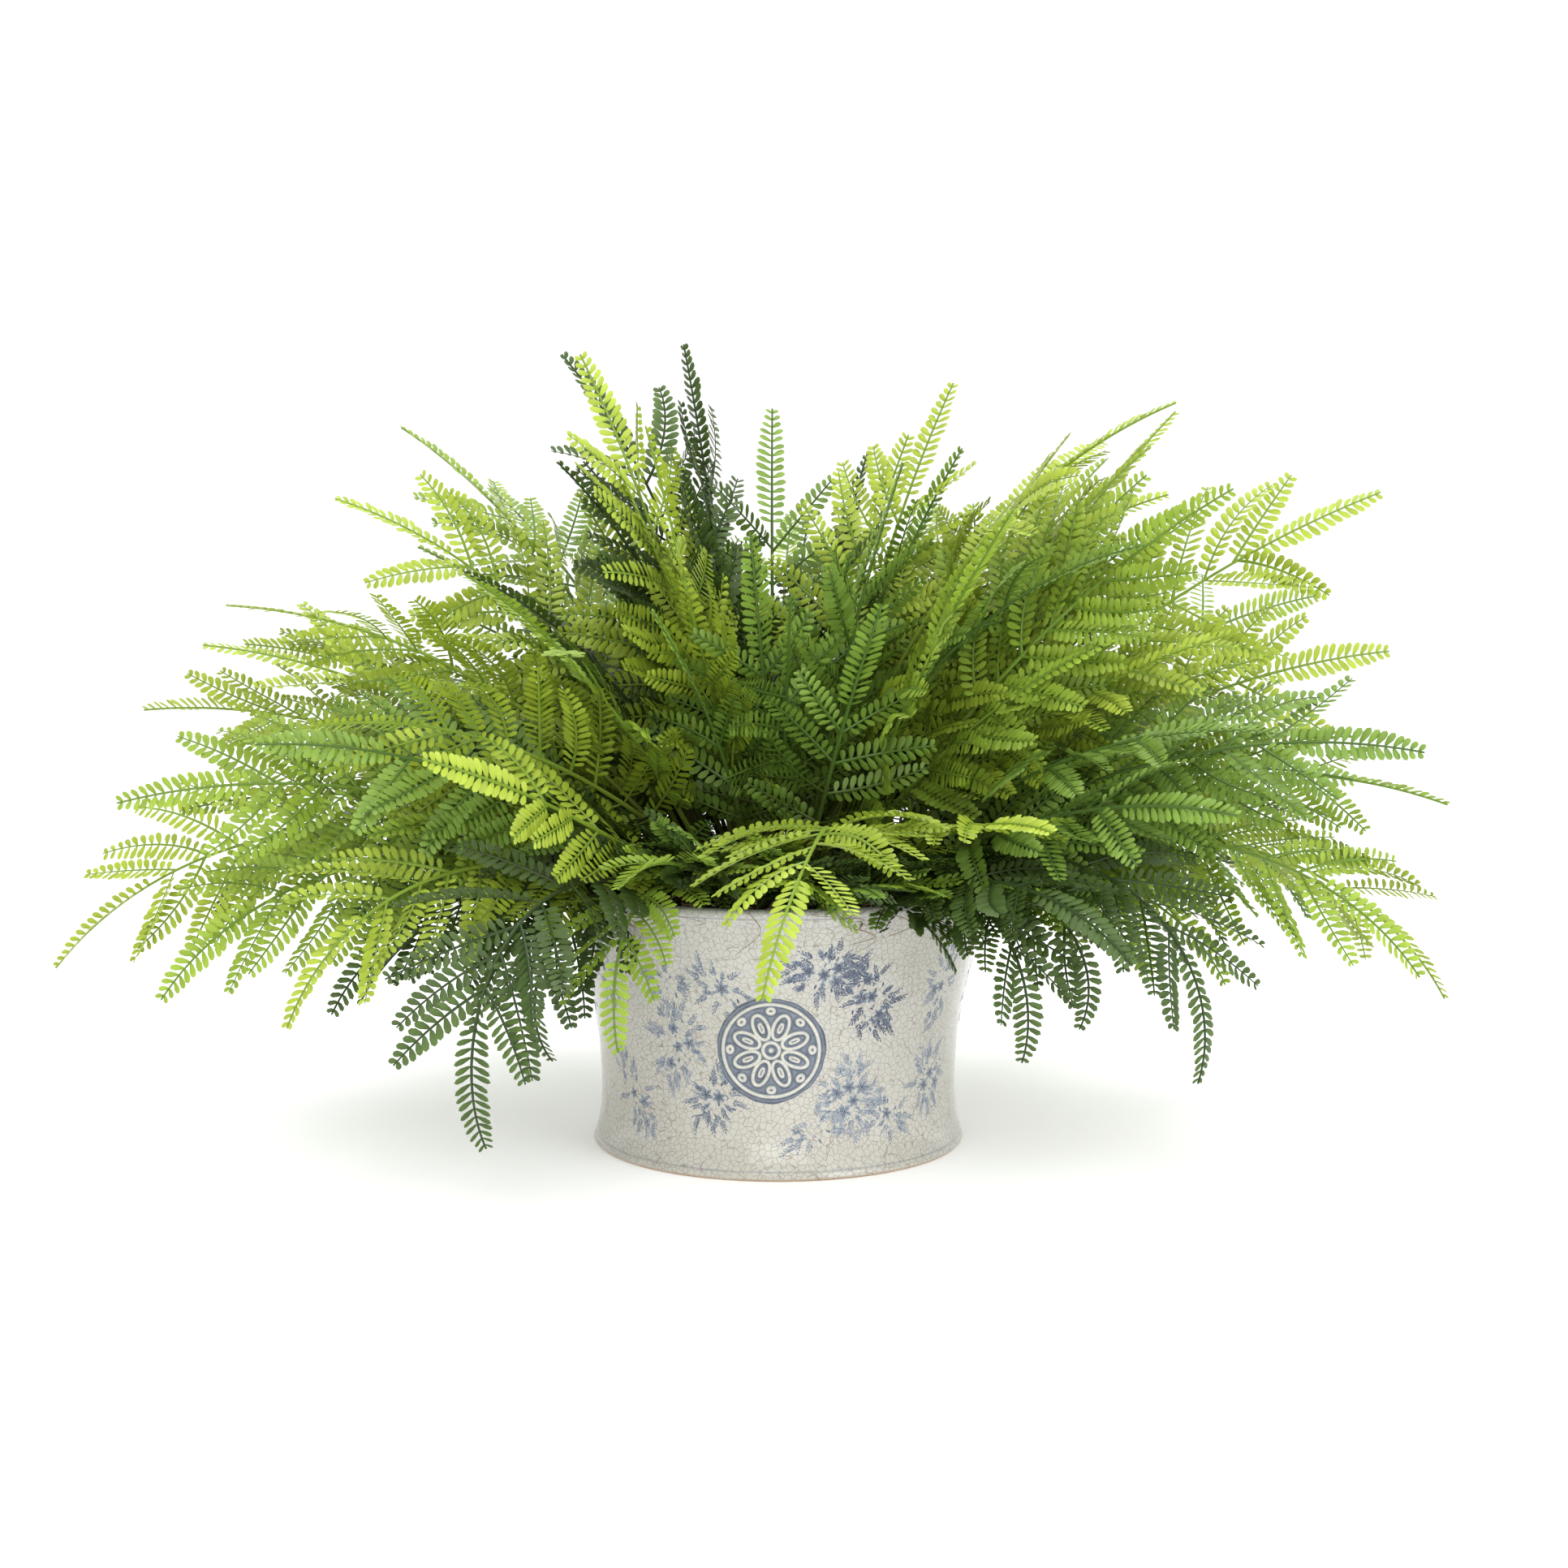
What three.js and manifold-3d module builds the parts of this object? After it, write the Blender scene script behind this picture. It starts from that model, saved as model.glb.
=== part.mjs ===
// A fern in a waisted, crackle-glazed ceramic bowl. Millimetres, +Z up.
// The origin is the centre of the bowl's flat underside, which it stands on; +X is to the viewer's right
// and -Y is towards the viewer. Every frond is a node of its own, rooted on one crown in the soil.

import * as THREE from 'three';
import { ConvexGeometry } from 'three/addons/geometries/ConvexGeometry.js';
import { ParametricGeometry } from 'three/addons/geometries/ParametricGeometry.js';
import { mergeVertices } from 'three/addons/utils/BufferGeometryUtils.js';
import Module from 'manifold-3d';

const wasm = await Module();
wasm.setup();

// ---- driving dimensions ----

const GAP = 0.4; // clearance between neighbouring pieces

const BOWL = {
  height: 160,
  waistRadius: 106.5,
  waistHeight: 31,
  flare: 28.6, // how much wider than the waist the mouth is
  flarePower: 2.1,
  footSpread: 6, // how much wider than the waist the foot is
  footRounding: 3,
  lipHeight: 5.5,
  lipProud: 1.2,
  wall: 6.5,
  floor: 9,
  sides: 40,
};

const SOIL_TOP = 140;
const CROWN = { radius: 96, rise: 16, sides: 28 }; // a low dome that stands on the soil
const MOSS = { inner: 98, thick: 10, sides: 32 };

const STEM = { base: 1.7, tip: 0.8, footLength: 4 }; // half thickness of a rachis along its length
const BEND = 1.5; // how late along a frond its droop sets in
const BARE_SHARE = 0.34; // the share of a frond that is bare stalk
const TERMINAL = { length: 84, width: 8.5 }; // the leaflet that ends each frond
const PINNA = {
  pitch: 16, longest: 74, baseShare: 0.62, innerAngle: 54, outerAngle: 36, // degrees to the rachis
  sag: 0.16, // how far a leaflet's tip hangs, as a share of its length
  lengths: [1, 0.75, 0.5, 0.25], // what a crowded leaflet may shrink to, before it is left out
};

// Each tier of fronds stands on a ring of its own on the crown, the most upright innermost.
const FOOT = { tall: 24, upper: 44, spreading: 62, hanging: 80 };

// One row for each frond: [heading, rise at the foot, rise at the tip, turn, length, roll, tone].
// Angles are in degrees: heading 0 is +X and 90 is +Y, turn is added along the length, and roll tips
// the frond about its own stem. Tones: 0 yellow-green, 1 leaf green, 2 blue-green, 3 dark green.
const FRONDS = {
  tall: [
    [150, 86, 78, 4, 322, 20, 3],
    [172, 86, 50, 10, 335, -48, 3],
    [200, 79, 64, -6, 326, -42, 0],
    [228, 74, 66, 8, 285, -32, 0],
    [265, 70, 66, -8, 225, 9, 2],
    [305, 74, 64, 6, 265, 9, 2],
    [345, 74, 22, -4, 366, 22, 0],
    [20, 80, 62, 8, 312, 24, 0],
    [52, 84, 66, -6, 262, -16, 3],
    [95, 82, 70, -6, 290, -18, 2],
  ],
  upper: [
    [180, 66, 18, 6, 326, -58, 0],
    [203, 50, 4, -5, 340, 24, 0],
    [158, 68, 32, 8, 345, -12, 1],
    [222, 58, 26, 6, 275, -23, 1],
    [252, 69, 55, -47, 190, -6, 2],
    [288, 58, 50, 4, 215, -14, 2],
    [312, 62, 46, -6, 275, 43, 1],
    [332, 56, 30, 6, 335, 53, 1],
    [353, 48, 22, -4, 388, 57, 0],
    [13, 60, 44, 5, 352, -25, 0],
    [38, 58, 30, -5, 340, 10, 1],
    [64, 58, 26, 5, 320, 10, 2],
    [90, 56, 24, -4, 320, 7, 1],
    [114, 58, 26, 5, 320, 13, 0],
    [136, 58, 26, -5, 335, -35, 2],
  ],
  spreading: [
    [187, 44, 6, 4, 318, -46, 0],
    [172, 32, -6, -4, 360, 40, 0],
    [199, 28, -12, 4, 340, -62, 1],
    [213, 36, 0, -4, 290, -49, 2],
    [228, 32, 16, -4, 232, -48, 0],
    [248, 28, -14, 6, 190, 9, 1],
    [285, 40, -65, -42, 300, 6, 0],
    [322, 30, -6, -5, 268, 24, 2],
    [337, 34, -8, -4, 345, 42, 2],
    [350, 30, -20, 4, 346, -40, 1],
    [3, 38, 6, -4, 340, 67, 0],
    [20, 42, 8, 5, 362, 42, 1],
    [43, 36, -4, -5, 338, 30, 1],
    [66, 38, -6, 4, 310, -8, 0],
    [90, 36, -8, -4, 305, 2, 3],
    [114, 38, -6, 5, 310, -9, 1],
    [136, 36, -6, -5, 335, -24, 2],
    [155, 38, 2, 4, 350, 27, 0],
  ],
  hanging: [
    [186, 25, -52, 3, 376, -55, 0],
    [201, 24, -56, -4, 315, -46, 1],
    [215, 28, -66, 5, 282, -38, 0],
    [231, 30, -124, 12, 293, -20, 3],
    [308, 26, -40, 5, 222, 8, 3],
    [326, 34, -108, -4, 288, 21, 3],
    [341, 28, -56, 4, 330, 36, 1],
    [357, 24, -62, -4, 356, -34, 0],
    [22, 26, -58, 5, 335, 38, 2],
    [52, 25, -62, -4, 305, 22, 1],
    [82, 25, -66, 4, 280, 8, 3],
    [128, 26, -62, -4, 300, 9, 0],
    [163, 26, -54, -4, 335, -14, 3],
  ],
};

const MATERIALS = {
  glaze: { color: 0xd6d7c6, roughness: 0.16, metalness: 0 },
  soil: { color: 0x3a2a1e, roughness: 0.95, metalness: 0 },
  moss: { color: 0x7d6650, roughness: 0.95, metalness: 0 },
  crown: { color: 0x5a4029, roughness: 0.9, metalness: 0 },
  tones: [
    { color: 0x8fbf2e, roughness: 0.45, metalness: 0 },
    { color: 0x5fa032, roughness: 0.45, metalness: 0 },
    { color: 0x3f8c4c, roughness: 0.5, metalness: 0 },
    { color: 0x24592b, roughness: 0.5, metalness: 0 },
  ],
};

// ---- solids ----

const radians = THREE.MathUtils.degToRad;
const lerp = THREE.MathUtils.lerp;

// The signed volume of an indexed closed geometry: negative where its faces point in.
function signedVolume(position, index) {
  const [a, b, c] = [new THREE.Vector3(), new THREE.Vector3(), new THREE.Vector3()];
  let six = 0;
  for (let i = 0; i < index.length; i += 3) {
    a.fromBufferAttribute(position, index[i]);
    b.fromBufferAttribute(position, index[i + 1]);
    c.fromBufferAttribute(position, index[i + 2]);
    six += a.dot(b.cross(c));
  }
  return six / 6;
}

// A closed geometry as a solid: shared points are merged, the triangles that collapse at a pole are
// dropped, and the faces are turned out.
function toSolid(geometry) {
  const bare = new THREE.BufferGeometry();
  bare.setAttribute('position', geometry.getAttribute('position'));
  if (geometry.index) bare.setIndex(geometry.index);
  const merged = mergeVertices(bare, 1e-4);
  const from = merged.index.array;
  const faces = [];
  for (let i = 0; i < from.length; i += 3) {
    const [a, b, c] = [from[i], from[i + 1], from[i + 2]];
    if (a !== b && b !== c && c !== a) faces.push(a, b, c);
  }
  if (signedVolume(merged.getAttribute('position'), faces) < 0) faces.reverse();
  return new wasm.Manifold(new wasm.Mesh({
    numProp: 3,
    vertProperties: new Float32Array(merged.getAttribute('position').array),
    triVerts: new Uint32Array(faces),
  }));
}

function toGeometry(solid) {
  const mesh = solid.getMesh();
  const geometry = new THREE.BufferGeometry();
  geometry.setAttribute('position', new THREE.BufferAttribute(mesh.vertProperties, 3));
  geometry.setIndex(new THREE.BufferAttribute(mesh.triVerts, 1));
  geometry.computeVertexNormals();
  return geometry;
}

function addMesh(group, name, solid, look) {
  const mesh = new THREE.Mesh(toGeometry(solid), new THREE.MeshStandardMaterial(look));
  mesh.name = name;
  group.add(mesh);
}

// A round body from its profile of [radius, height] points, turned about the Z axis.
function turned(profile, sides) {
  const points = profile.map(([radius, height]) => new THREE.Vector2(radius, height));
  return toSolid(new THREE.LatheGeometry(points, sides).rotateX(Math.PI / 2));
}

const steps = (from, to, count) => Array.from({ length: count + 1 }, (_, i) => lerp(from, to, i / count));

// ---- the bowl and what fills it ----

// The bowl's outer radius: a power curve from the waist up to the mouth, and another down to the foot.
function bowlRadius(z) {
  if (z < BOWL.waistHeight) {
    return BOWL.waistRadius + BOWL.footSpread * (1 - z / BOWL.waistHeight) ** 2;
  }
  const up = (z - BOWL.waistHeight) / (BOWL.height - BOWL.waistHeight);
  return BOWL.waistRadius + BOWL.flare * up ** BOWL.flarePower;
}

const bowlBore = (z) => bowlRadius(z) - BOWL.wall;

function bowl() {
  const { height, footRounding, lipHeight, lipProud, wall, floor, sides } = BOWL;
  const lipFoot = height - lipHeight;
  const lipRadius = bowlRadius(height - lipHeight / 2) + lipProud;
  const outside = steps(footRounding, lipFoot, 10).map((z) => [bowlRadius(z), z]);
  const lip = [
    [lipRadius - lipProud / 2, lipFoot + lipProud],
    [lipRadius, height - lipHeight / 2],
    [lipRadius - lipProud, height - lipProud / 2],
    [lipRadius - wall / 2, height],
    [lipRadius - wall - lipProud / 2, height - lipProud],
  ];
  const inside = steps(lipFoot, floor + wall, 8).map((z) => [bowlBore(z), z]);
  return turned([
    [0, 0],
    [bowlRadius(footRounding) - footRounding, 0],
    [bowlRadius(footRounding) - footRounding / 4, footRounding / 4],
    ...outside,
    ...lip,
    ...inside,
    [bowlBore(floor) - wall, floor],
    [0, floor],
  ], sides);
}

function soil() {
  const bottom = BOWL.floor + GAP;
  const side = steps(bottom + BOWL.wall, SOIL_TOP, 6).map((z) => [bowlBore(z) - GAP, z]);
  return turned([[0, bottom], [bowlBore(bottom) - BOWL.wall - GAP, bottom], ...side, [0, SOIL_TOP]], BOWL.sides);
}

// The crown's top is a parabola over its radius.
const crownTop = (radius) => SOIL_TOP + GAP + CROWN.rise * (1 - (radius / CROWN.radius) ** 2) + 1;

function crown() {
  const dome = steps(CROWN.radius, 0, 6).map((radius) => [radius, crownTop(radius)]);
  return turned([[0, SOIL_TOP + GAP], [CROWN.radius, SOIL_TOP + GAP], ...dome], CROWN.sides);
}

// The moss is a cushion in the ring between the crown and the bowl's wall.
function moss() {
  const bottom = SOIL_TOP + GAP;
  const outer = bowlBore(bottom) - GAP;
  const middle = (MOSS.inner + outer) / 2;
  return turned([
    [MOSS.inner, bottom],
    [outer, bottom],
    [outer, bottom + MOSS.thick / 2],
    [middle, bottom + MOSS.thick],
    [MOSS.inner, bottom + MOSS.thick / 2],
    [MOSS.inner, bottom],
  ], MOSS.sides);
}

// ---- fronds ----

// The line that a frond's stem follows. Its slope eases from the rise at the foot to the rise at the tip,
// its heading turns evenly, and its points are the running sum of the steps between them.
function stemLine(tier, [heading, riseFoot, riseTip, turn, length, roll]) {
  const count = 48;
  const around = radians(heading);
  const start = new THREE.Vector3(
    FOOT[tier] * Math.cos(around), FOOT[tier] * Math.sin(around), crownTop(FOOT[tier]) + GAP);
  const stations = steps(0, 1, count).map((share) => {
    const rise = radians(lerp(riseFoot, riseTip, share ** BEND));
    const bearing = radians(heading + turn * share);
    const along = new THREE.Vector3(
      Math.cos(rise) * Math.cos(bearing), Math.cos(rise) * Math.sin(bearing), Math.sin(rise));
    const side = new THREE.Vector3(-Math.sin(bearing), Math.cos(bearing), 0)
      .applyAxisAngle(along, radians(roll));
    return { along, side, up: along.clone().cross(side) };
  });
  let place = start;
  stations[0].place = start;
  for (let i = 1; i <= count; i += 1) {
    const mean = stations[i - 1].along.clone().add(stations[i].along);
    place = place.clone().addScaledVector(mean, length / count / 2);
    stations[i].place = place;
  }
  // The station at a share of the length, between two of those above.
  return (share) => {
    const at = Math.min(share * count, count - 1e-6);
    const [low, mix] = [Math.floor(at), at % 1];
    const between = (key) => stations[low][key].clone().lerp(stations[low + 1][key], mix);
    return { place: between('place'), along: between('along'), side: between('side'), up: between('up') };
  };
}

// A frond's sections from foot to tip. Each has its share of the length, its half thickness, and how far
// its two edges reach: a pair of leaflets is a section whose edges are drawn out forwards and sideways.
function sections(row) {
  const length = row[4];
  const foot = STEM.footLength / length;
  const leafStart = BARE_SHARE;
  const leafEnd = 1 - TERMINAL.length / length;
  const pairs = Math.max(2, Math.round((leafEnd - leafStart) * length / PINNA.pitch));
  const thick = (share) => lerp(STEM.base, STEM.tip, share);
  const plain = (share) => ({ share, thick: thick(share), reach: thick(share) });
  const list = [plain(foot), plain((foot + leafStart) / 3), plain((foot + leafStart) * 2 / 3), plain(leafStart)];
  const pairPitch = (leafEnd - leafStart) / pairs;
  for (let k = 0; k < pairs; k += 1) {
    const share = leafStart + (k + 0.5) * pairPitch;
    const full = Math.sin(Math.PI * lerp(0.25, 0.8, k / (pairs - 1)));
    list.push({
      share,
      thick: thick(share),
      pinna: PINNA.longest * lerp(PINNA.baseShare, 1, full),
      angle: radians(lerp(PINNA.innerAngle, PINNA.outerAngle, k / (pairs - 1))),
    });
    list.push(plain(share + pairPitch / 2));
  }
  list.push({ share: lerp(leafEnd, 1, 0.35), thick: STEM.tip, reach: TERMINAL.width });
  list.push({ share: lerp(leafEnd, 1, 0.8), thick: STEM.tip / 2, reach: TERMINAL.width * 0.6 });
  return list;
}

// The four corners of a section: its two edges, its back and its belly. scale holds how much of its
// natural length each of the two leaflets keeps, and spare swells the section for clearance.
function corners(station, section, scale, spare) {
  const { place, along, side, up } = station;
  const edge = (hand, keep) => {
    const corner = place.clone();
    if (!section.pinna || keep === 0) {
      return corner.addScaledVector(side, hand * ((section.reach ?? section.thick) + spare));
    }
    const long = section.pinna * keep + spare;
    corner.addScaledVector(along, long * Math.cos(section.angle));
    corner.addScaledVector(side, hand * long * Math.sin(section.angle));
    corner.z -= long * PINNA.sag;
    return corner;
  };
  const deep = section.thick + spare;
  return [
    edge(1, scale[0]),
    place.clone().addScaledVector(up, deep),
    edge(-1, scale[1]),
    place.clone().addScaledVector(up, -deep),
  ];
}

// A closed skin over a frond's sections, drawn to a point at its foot and at its tip.
function frondSolid(line, list, scales, spare = 0) {
  const rings = list.map((section, i) => corners(line(section.share), section, scales[i], spare));
  const ends = [line(0).place, line(1).place];
  const stacks = list.length + 1;
  const skin = (around, along, target) => {
    const stack = Math.round(along * stacks);
    const corner = Math.round(around * 4) % 4;
    if (stack === 0) return target.copy(ends[0]);
    return target.copy(stack === stacks ? ends[1] : rings[stack - 1][corner]);
  };
  return toSolid(new ParametricGeometry(skin, 4, stacks));
}

// The space that one leaflet and its stretch of stem would take, with clearance.
function leafletSpace(line, list, i, hand, keep) {
  const points = [i - 1, i, i + 1].flatMap((j) => {
    const ring = corners(line(list[j].share), list[j], [keep, keep], GAP);
    return [ring[hand === 0 ? 0 : 2], ring[1], ring[3]];
  });
  return toSolid(new ConvexGeometry(points));
}

function boxesMeet(a, b) {
  return [0, 1, 2].every((k) => a.min[k] <= b.max[k] && b.min[k] <= a.max[k]);
}

const meets = (solid, others) => {
  const box = solid.boundingBox();
  return others.some((other) => boxesMeet(box, other.box) && solid.intersect(other.solid).volume() > 0);
};

const boxed = (solid) => ({ solid, box: solid.boundingBox() });

// ---- the object ----

const group = new THREE.Group();
const firm = { planter_bowl: [bowl(), MATERIALS.glaze], potting_soil: [soil(), MATERIALS.soil],
  fern_crown: [crown(), MATERIALS.crown], moss_cushion: [moss(), MATERIALS.moss] };
for (const [name, [solid, look]] of Object.entries(firm)) addMesh(group, name, solid, look);

const plans = Object.entries(FRONDS).flatMap(([tier, rows]) => rows.map((row, i) => {
  const list = sections(row);
  return {
    name: `frond_${tier}_${String(i + 1).padStart(2, '0')}`,
    tone: row[6],
    line: stemLine(tier, row),
    list,
    scales: list.map(() => [0, 0]),
  };
}));

// Every stem is set out first, bare. Then each leaflet grows to the longest of its lengths that stays
// clear of the bowl, of the fronds already in leaf and of the other stems.
const stems = plans.map((plan) => boxed(frondSolid(plan.line, plan.list, plan.scales, GAP)));
const grown = Object.values(firm).map(([solid]) => boxed(solid));
plans.forEach((plan, index) => {
  const others = [...grown, ...stems.slice(index + 1)];
  plan.list.forEach((section, i) => {
    if (!section.pinna) return;
    [0, 1].forEach((hand) => {
      const fits = (keep) => !meets(leafletSpace(plan.line, plan.list, i, hand, keep), others);
      plan.scales[i][hand] = PINNA.lengths.find(fits) ?? 0;
    });
  });
  const solid = frondSolid(plan.line, plan.list, plan.scales);
  grown.push(boxed(solid));
  addMesh(group, plan.name, solid, MATERIALS.tones[plan.tone]);
});

export default group;
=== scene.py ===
"""The looks of a potted fern: every leaf segment of its fronds, the crackle-glazed bowl with its underglaze
sprays and two raised medallions, the soil, the crown and the moss. Shapes are worked out in millimetres and
stored in metres, +Z up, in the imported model's frame."""

import math

import bpy
import numpy as np
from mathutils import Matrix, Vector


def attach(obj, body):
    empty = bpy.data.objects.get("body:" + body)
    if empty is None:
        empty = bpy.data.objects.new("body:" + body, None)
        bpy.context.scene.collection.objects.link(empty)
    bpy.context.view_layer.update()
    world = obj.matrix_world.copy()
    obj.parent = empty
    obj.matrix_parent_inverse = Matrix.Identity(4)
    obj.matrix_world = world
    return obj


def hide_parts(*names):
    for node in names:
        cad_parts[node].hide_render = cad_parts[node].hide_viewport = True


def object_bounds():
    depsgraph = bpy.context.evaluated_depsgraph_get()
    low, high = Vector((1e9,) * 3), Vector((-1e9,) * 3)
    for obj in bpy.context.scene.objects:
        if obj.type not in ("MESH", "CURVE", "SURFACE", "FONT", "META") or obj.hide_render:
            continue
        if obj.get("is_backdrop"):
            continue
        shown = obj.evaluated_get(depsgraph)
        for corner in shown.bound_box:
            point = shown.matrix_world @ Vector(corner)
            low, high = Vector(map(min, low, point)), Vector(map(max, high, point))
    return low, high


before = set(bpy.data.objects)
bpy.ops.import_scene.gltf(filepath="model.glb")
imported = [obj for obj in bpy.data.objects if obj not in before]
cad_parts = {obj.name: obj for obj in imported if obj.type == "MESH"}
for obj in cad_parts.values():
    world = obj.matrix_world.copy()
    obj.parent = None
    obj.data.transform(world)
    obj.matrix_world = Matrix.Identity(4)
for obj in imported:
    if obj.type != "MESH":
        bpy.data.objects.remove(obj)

CAD_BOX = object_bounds()
MM = 0.001
BODY = "root"

# ---- the fronds, as the CAD has them (degrees and millimetres) ----

FOOT_RADIUS = {"tall": 24, "upper": 44, "spreading": 62, "hanging": 80}
CROWN_RADIUS, CROWN_RISE, CROWN_BASE = 96, 16, 141.4
BEND = 1.5  # how late along a frond its droop sets in

# One row for each frond: [heading, rise at the foot, rise at the tip, turn, length, tone]
LINES = {
    "tall": [
        [150, 86, 78, 4, 322, 3],
        [172, 86, 50, 10, 335, 3],
        [200, 79, 64, -6, 326, 0],
        [228, 74, 66, 8, 285, 0],
        [265, 70, 66, -8, 225, 2],
        [305, 74, 64, 6, 265, 2],
        [345, 74, 22, -4, 366, 0],
        [20, 80, 62, 8, 312, 0],
        [52, 84, 66, -6, 262, 3],
        [95, 82, 70, -6, 290, 2],
    ],
    "upper": [
        [180, 66, 18, 6, 326, 0],
        [203, 50, 4, -5, 340, 0],
        [158, 68, 32, 8, 345, 1],
        [222, 58, 26, 6, 275, 1],
        [252, 69, 55, -47, 190, 2],
        [288, 58, 50, 4, 215, 2],
        [312, 62, 46, -6, 275, 1],
        [332, 56, 30, 6, 335, 1],
        [353, 48, 22, -4, 388, 0],
        [13, 60, 44, 5, 352, 0],
        [38, 58, 30, -5, 340, 1],
        [64, 58, 26, 5, 320, 2],
        [90, 56, 24, -4, 320, 1],
        [114, 58, 26, 5, 320, 0],
        [136, 58, 26, -5, 335, 2],
    ],
    "spreading": [
        [187, 44, 6, 4, 318, 0],
        [172, 32, -6, -4, 360, 0],
        [199, 28, -12, 4, 340, 1],
        [213, 36, 0, -4, 290, 2],
        [228, 32, 16, -4, 232, 0],
        [248, 28, -14, 6, 190, 1],
        [285, 40, -65, -42, 300, 0],
        [322, 30, -6, -5, 268, 2],
        [337, 34, -8, -4, 345, 2],
        [350, 30, -20, 4, 346, 1],
        [3, 38, 6, -4, 340, 0],
        [20, 42, 8, 5, 362, 1],
        [43, 36, -4, -5, 338, 1],
        [66, 38, -6, 4, 310, 0],
        [90, 36, -8, -4, 305, 3],
        [114, 38, -6, 5, 310, 1],
        [136, 36, -6, -5, 335, 2],
        [155, 38, 2, 4, 350, 0],
    ],
    "hanging": [
        [186, 25, -52, 3, 376, 0],
        [201, 24, -56, -4, 315, 1],
        [215, 28, -66, 5, 282, 0],
        [231, 30, -124, 12, 293, 3],
        [308, 26, -40, 5, 222, 3],
        [326, 34, -108, -4, 288, 3],
        [341, 28, -56, 4, 330, 1],
        [357, 24, -62, -4, 356, 0],
        [22, 26, -58, 5, 335, 2],
        [52, 25, -62, -4, 305, 1],
        [82, 25, -66, 4, 280, 3],
        [128, 26, -62, -4, 300, 0],
        [163, 26, -54, -4, 335, 3],
    ],
}

# A frond's roll about its own stem: the tier's least and what is added for one that heads straight to the
# side, times one of eight factors in turn. A few prominent fronds have a roll of their own.
ROLLS = {"tall": (20, 22), "upper": (12, 46), "spreading": (10, 48), "hanging": (8, 40)}
ROLL_FACTORS = [1.0, 0.55, 1.15, -0.45, 0.8, 1.05, 0.3, -0.7]
BACK_ROLL = 0.75  # the share of its roll that a frond at the back keeps
OWN_ROLLS = {("upper", 5): -6, ("spreading", 5): -48, ("spreading", 7): 6, ("hanging", 4): -20}


def roll_of(tier, number, heading):
    """The roll of the numbered frond of a tier: larger the more it heads to a side, and opposite in sign on
    the two sides."""
    if (tier, number) in OWN_ROLLS:
        return OWN_ROLLS[tier, number]
    least, more = ROLLS[tier]
    sideways, back = math.cos(math.radians(heading)), math.sin(math.radians(heading))
    roll = (least + more * abs(sideways) ** 1.5) * ROLL_FACTORS[(3 * number + len(tier)) % len(ROLL_FACTORS)]
    return round(math.copysign(1, sideways) * roll * (BACK_ROLL if back > 0.3 else 1))


# [heading, rise at the foot, rise at the tip, turn, length, roll, tone]
FRONDS = {tier: [[*row[:5], roll_of(tier, number, row[0]), row[5]] for number, row in enumerate(rows, 1)]
          for tier, rows in LINES.items()}

BARE_SHARE = 0.2  # the share of a frond that carries no leaflets
PAIR_PITCH = 21  # between pairs of leaflets
TERMINAL = 80  # the leaflet that ends each frond
LEAFLET = {"longest": 78, "inner_angle": 64, "outer_angle": 46, "sag": 0.12, "stations": 9}
SEGMENT = {"pitch": 4.7, "length": 10.4, "width": 4.2, "inner_angle": 74, "outer_angle": 54}
# the stations of a segment from neck to tip: [share of its length, share of its width, height of its ridge]
FULL_BLADE = [[0.2, 0.56, 0.45], [0.58, 1.0, 0.6], [0.87, 0.8, 0.45]]
PLAIN_BLADE = [[0.3, 0.78, 0.5], [0.8, 0.92, 0.52]]
STEM = {"foot": 1.7, "tip": 0.6, "midrib_foot": 0.62, "midrib_tip": 0.3}

TONES = ["yellow_green", "leaf_green", "blue_green", "dark_green"]
TONE_COLOURS = [  # blade, lit edge, shaded inner part, stem
    [(0.308, 0.412, 0.027), (0.385, 0.488, 0.056), (0.160, 0.228, 0.014), (0.185, 0.285, 0.028)],
    [(0.226, 0.345, 0.025), (0.300, 0.420, 0.046), (0.100, 0.166, 0.012), (0.130, 0.222, 0.022)],
    [(0.145, 0.250, 0.030), (0.212, 0.332, 0.052), (0.062, 0.116, 0.013), (0.066, 0.130, 0.019)],
    [(0.046, 0.088, 0.014), (0.084, 0.138, 0.028), (0.019, 0.039, 0.006), (0.027, 0.053, 0.010)],
]

# ---- meshes from arrays ----


def unit(vectors):
    """Vectors along the last axis, each at length one."""
    return vectors / np.maximum(np.linalg.norm(vectors, axis=-1, keepdims=True), 1e-12)


def new_piece(name, points, faces, material, sharp_angle=None):
    """An object whose mesh holds the points (in millimetres) and the faces, given as arrays of corners."""
    mesh = bpy.data.meshes.new(name)
    mesh.vertices.add(len(points))
    mesh.vertices.foreach_set("co", (points * MM).astype(np.float32).ravel())
    corners = np.concatenate([part.ravel() for part in faces]).astype(np.int32)
    sizes = np.concatenate([np.full(len(part), part.shape[1]) for part in faces])
    mesh.loops.add(len(corners))
    mesh.loops.foreach_set("vertex_index", corners)
    mesh.polygons.add(len(sizes))
    starts = np.concatenate([[0], np.cumsum(sizes)[:-1]]).astype(np.int32)
    mesh.polygons.foreach_set("loop_start", starts)
    mesh.polygons.foreach_set("use_smooth", np.full(len(sizes), True))
    mesh.update(calc_edges=True)
    if sharp_angle is not None:
        mesh.set_sharp_from_angle(angle=math.radians(sharp_angle))
    mesh.materials.append(material)
    piece = bpy.data.objects.new(name, mesh)
    bpy.context.scene.collection.objects.link(piece)
    return piece


def paint(piece, name, colours):
    """Stores four numbers for each vertex as a colour attribute that a material reads."""
    layer = piece.data.attributes.new(name, "FLOAT_COLOR", "POINT")
    layer.data.foreach_set("color", colours.astype(np.float32).ravel())


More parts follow.
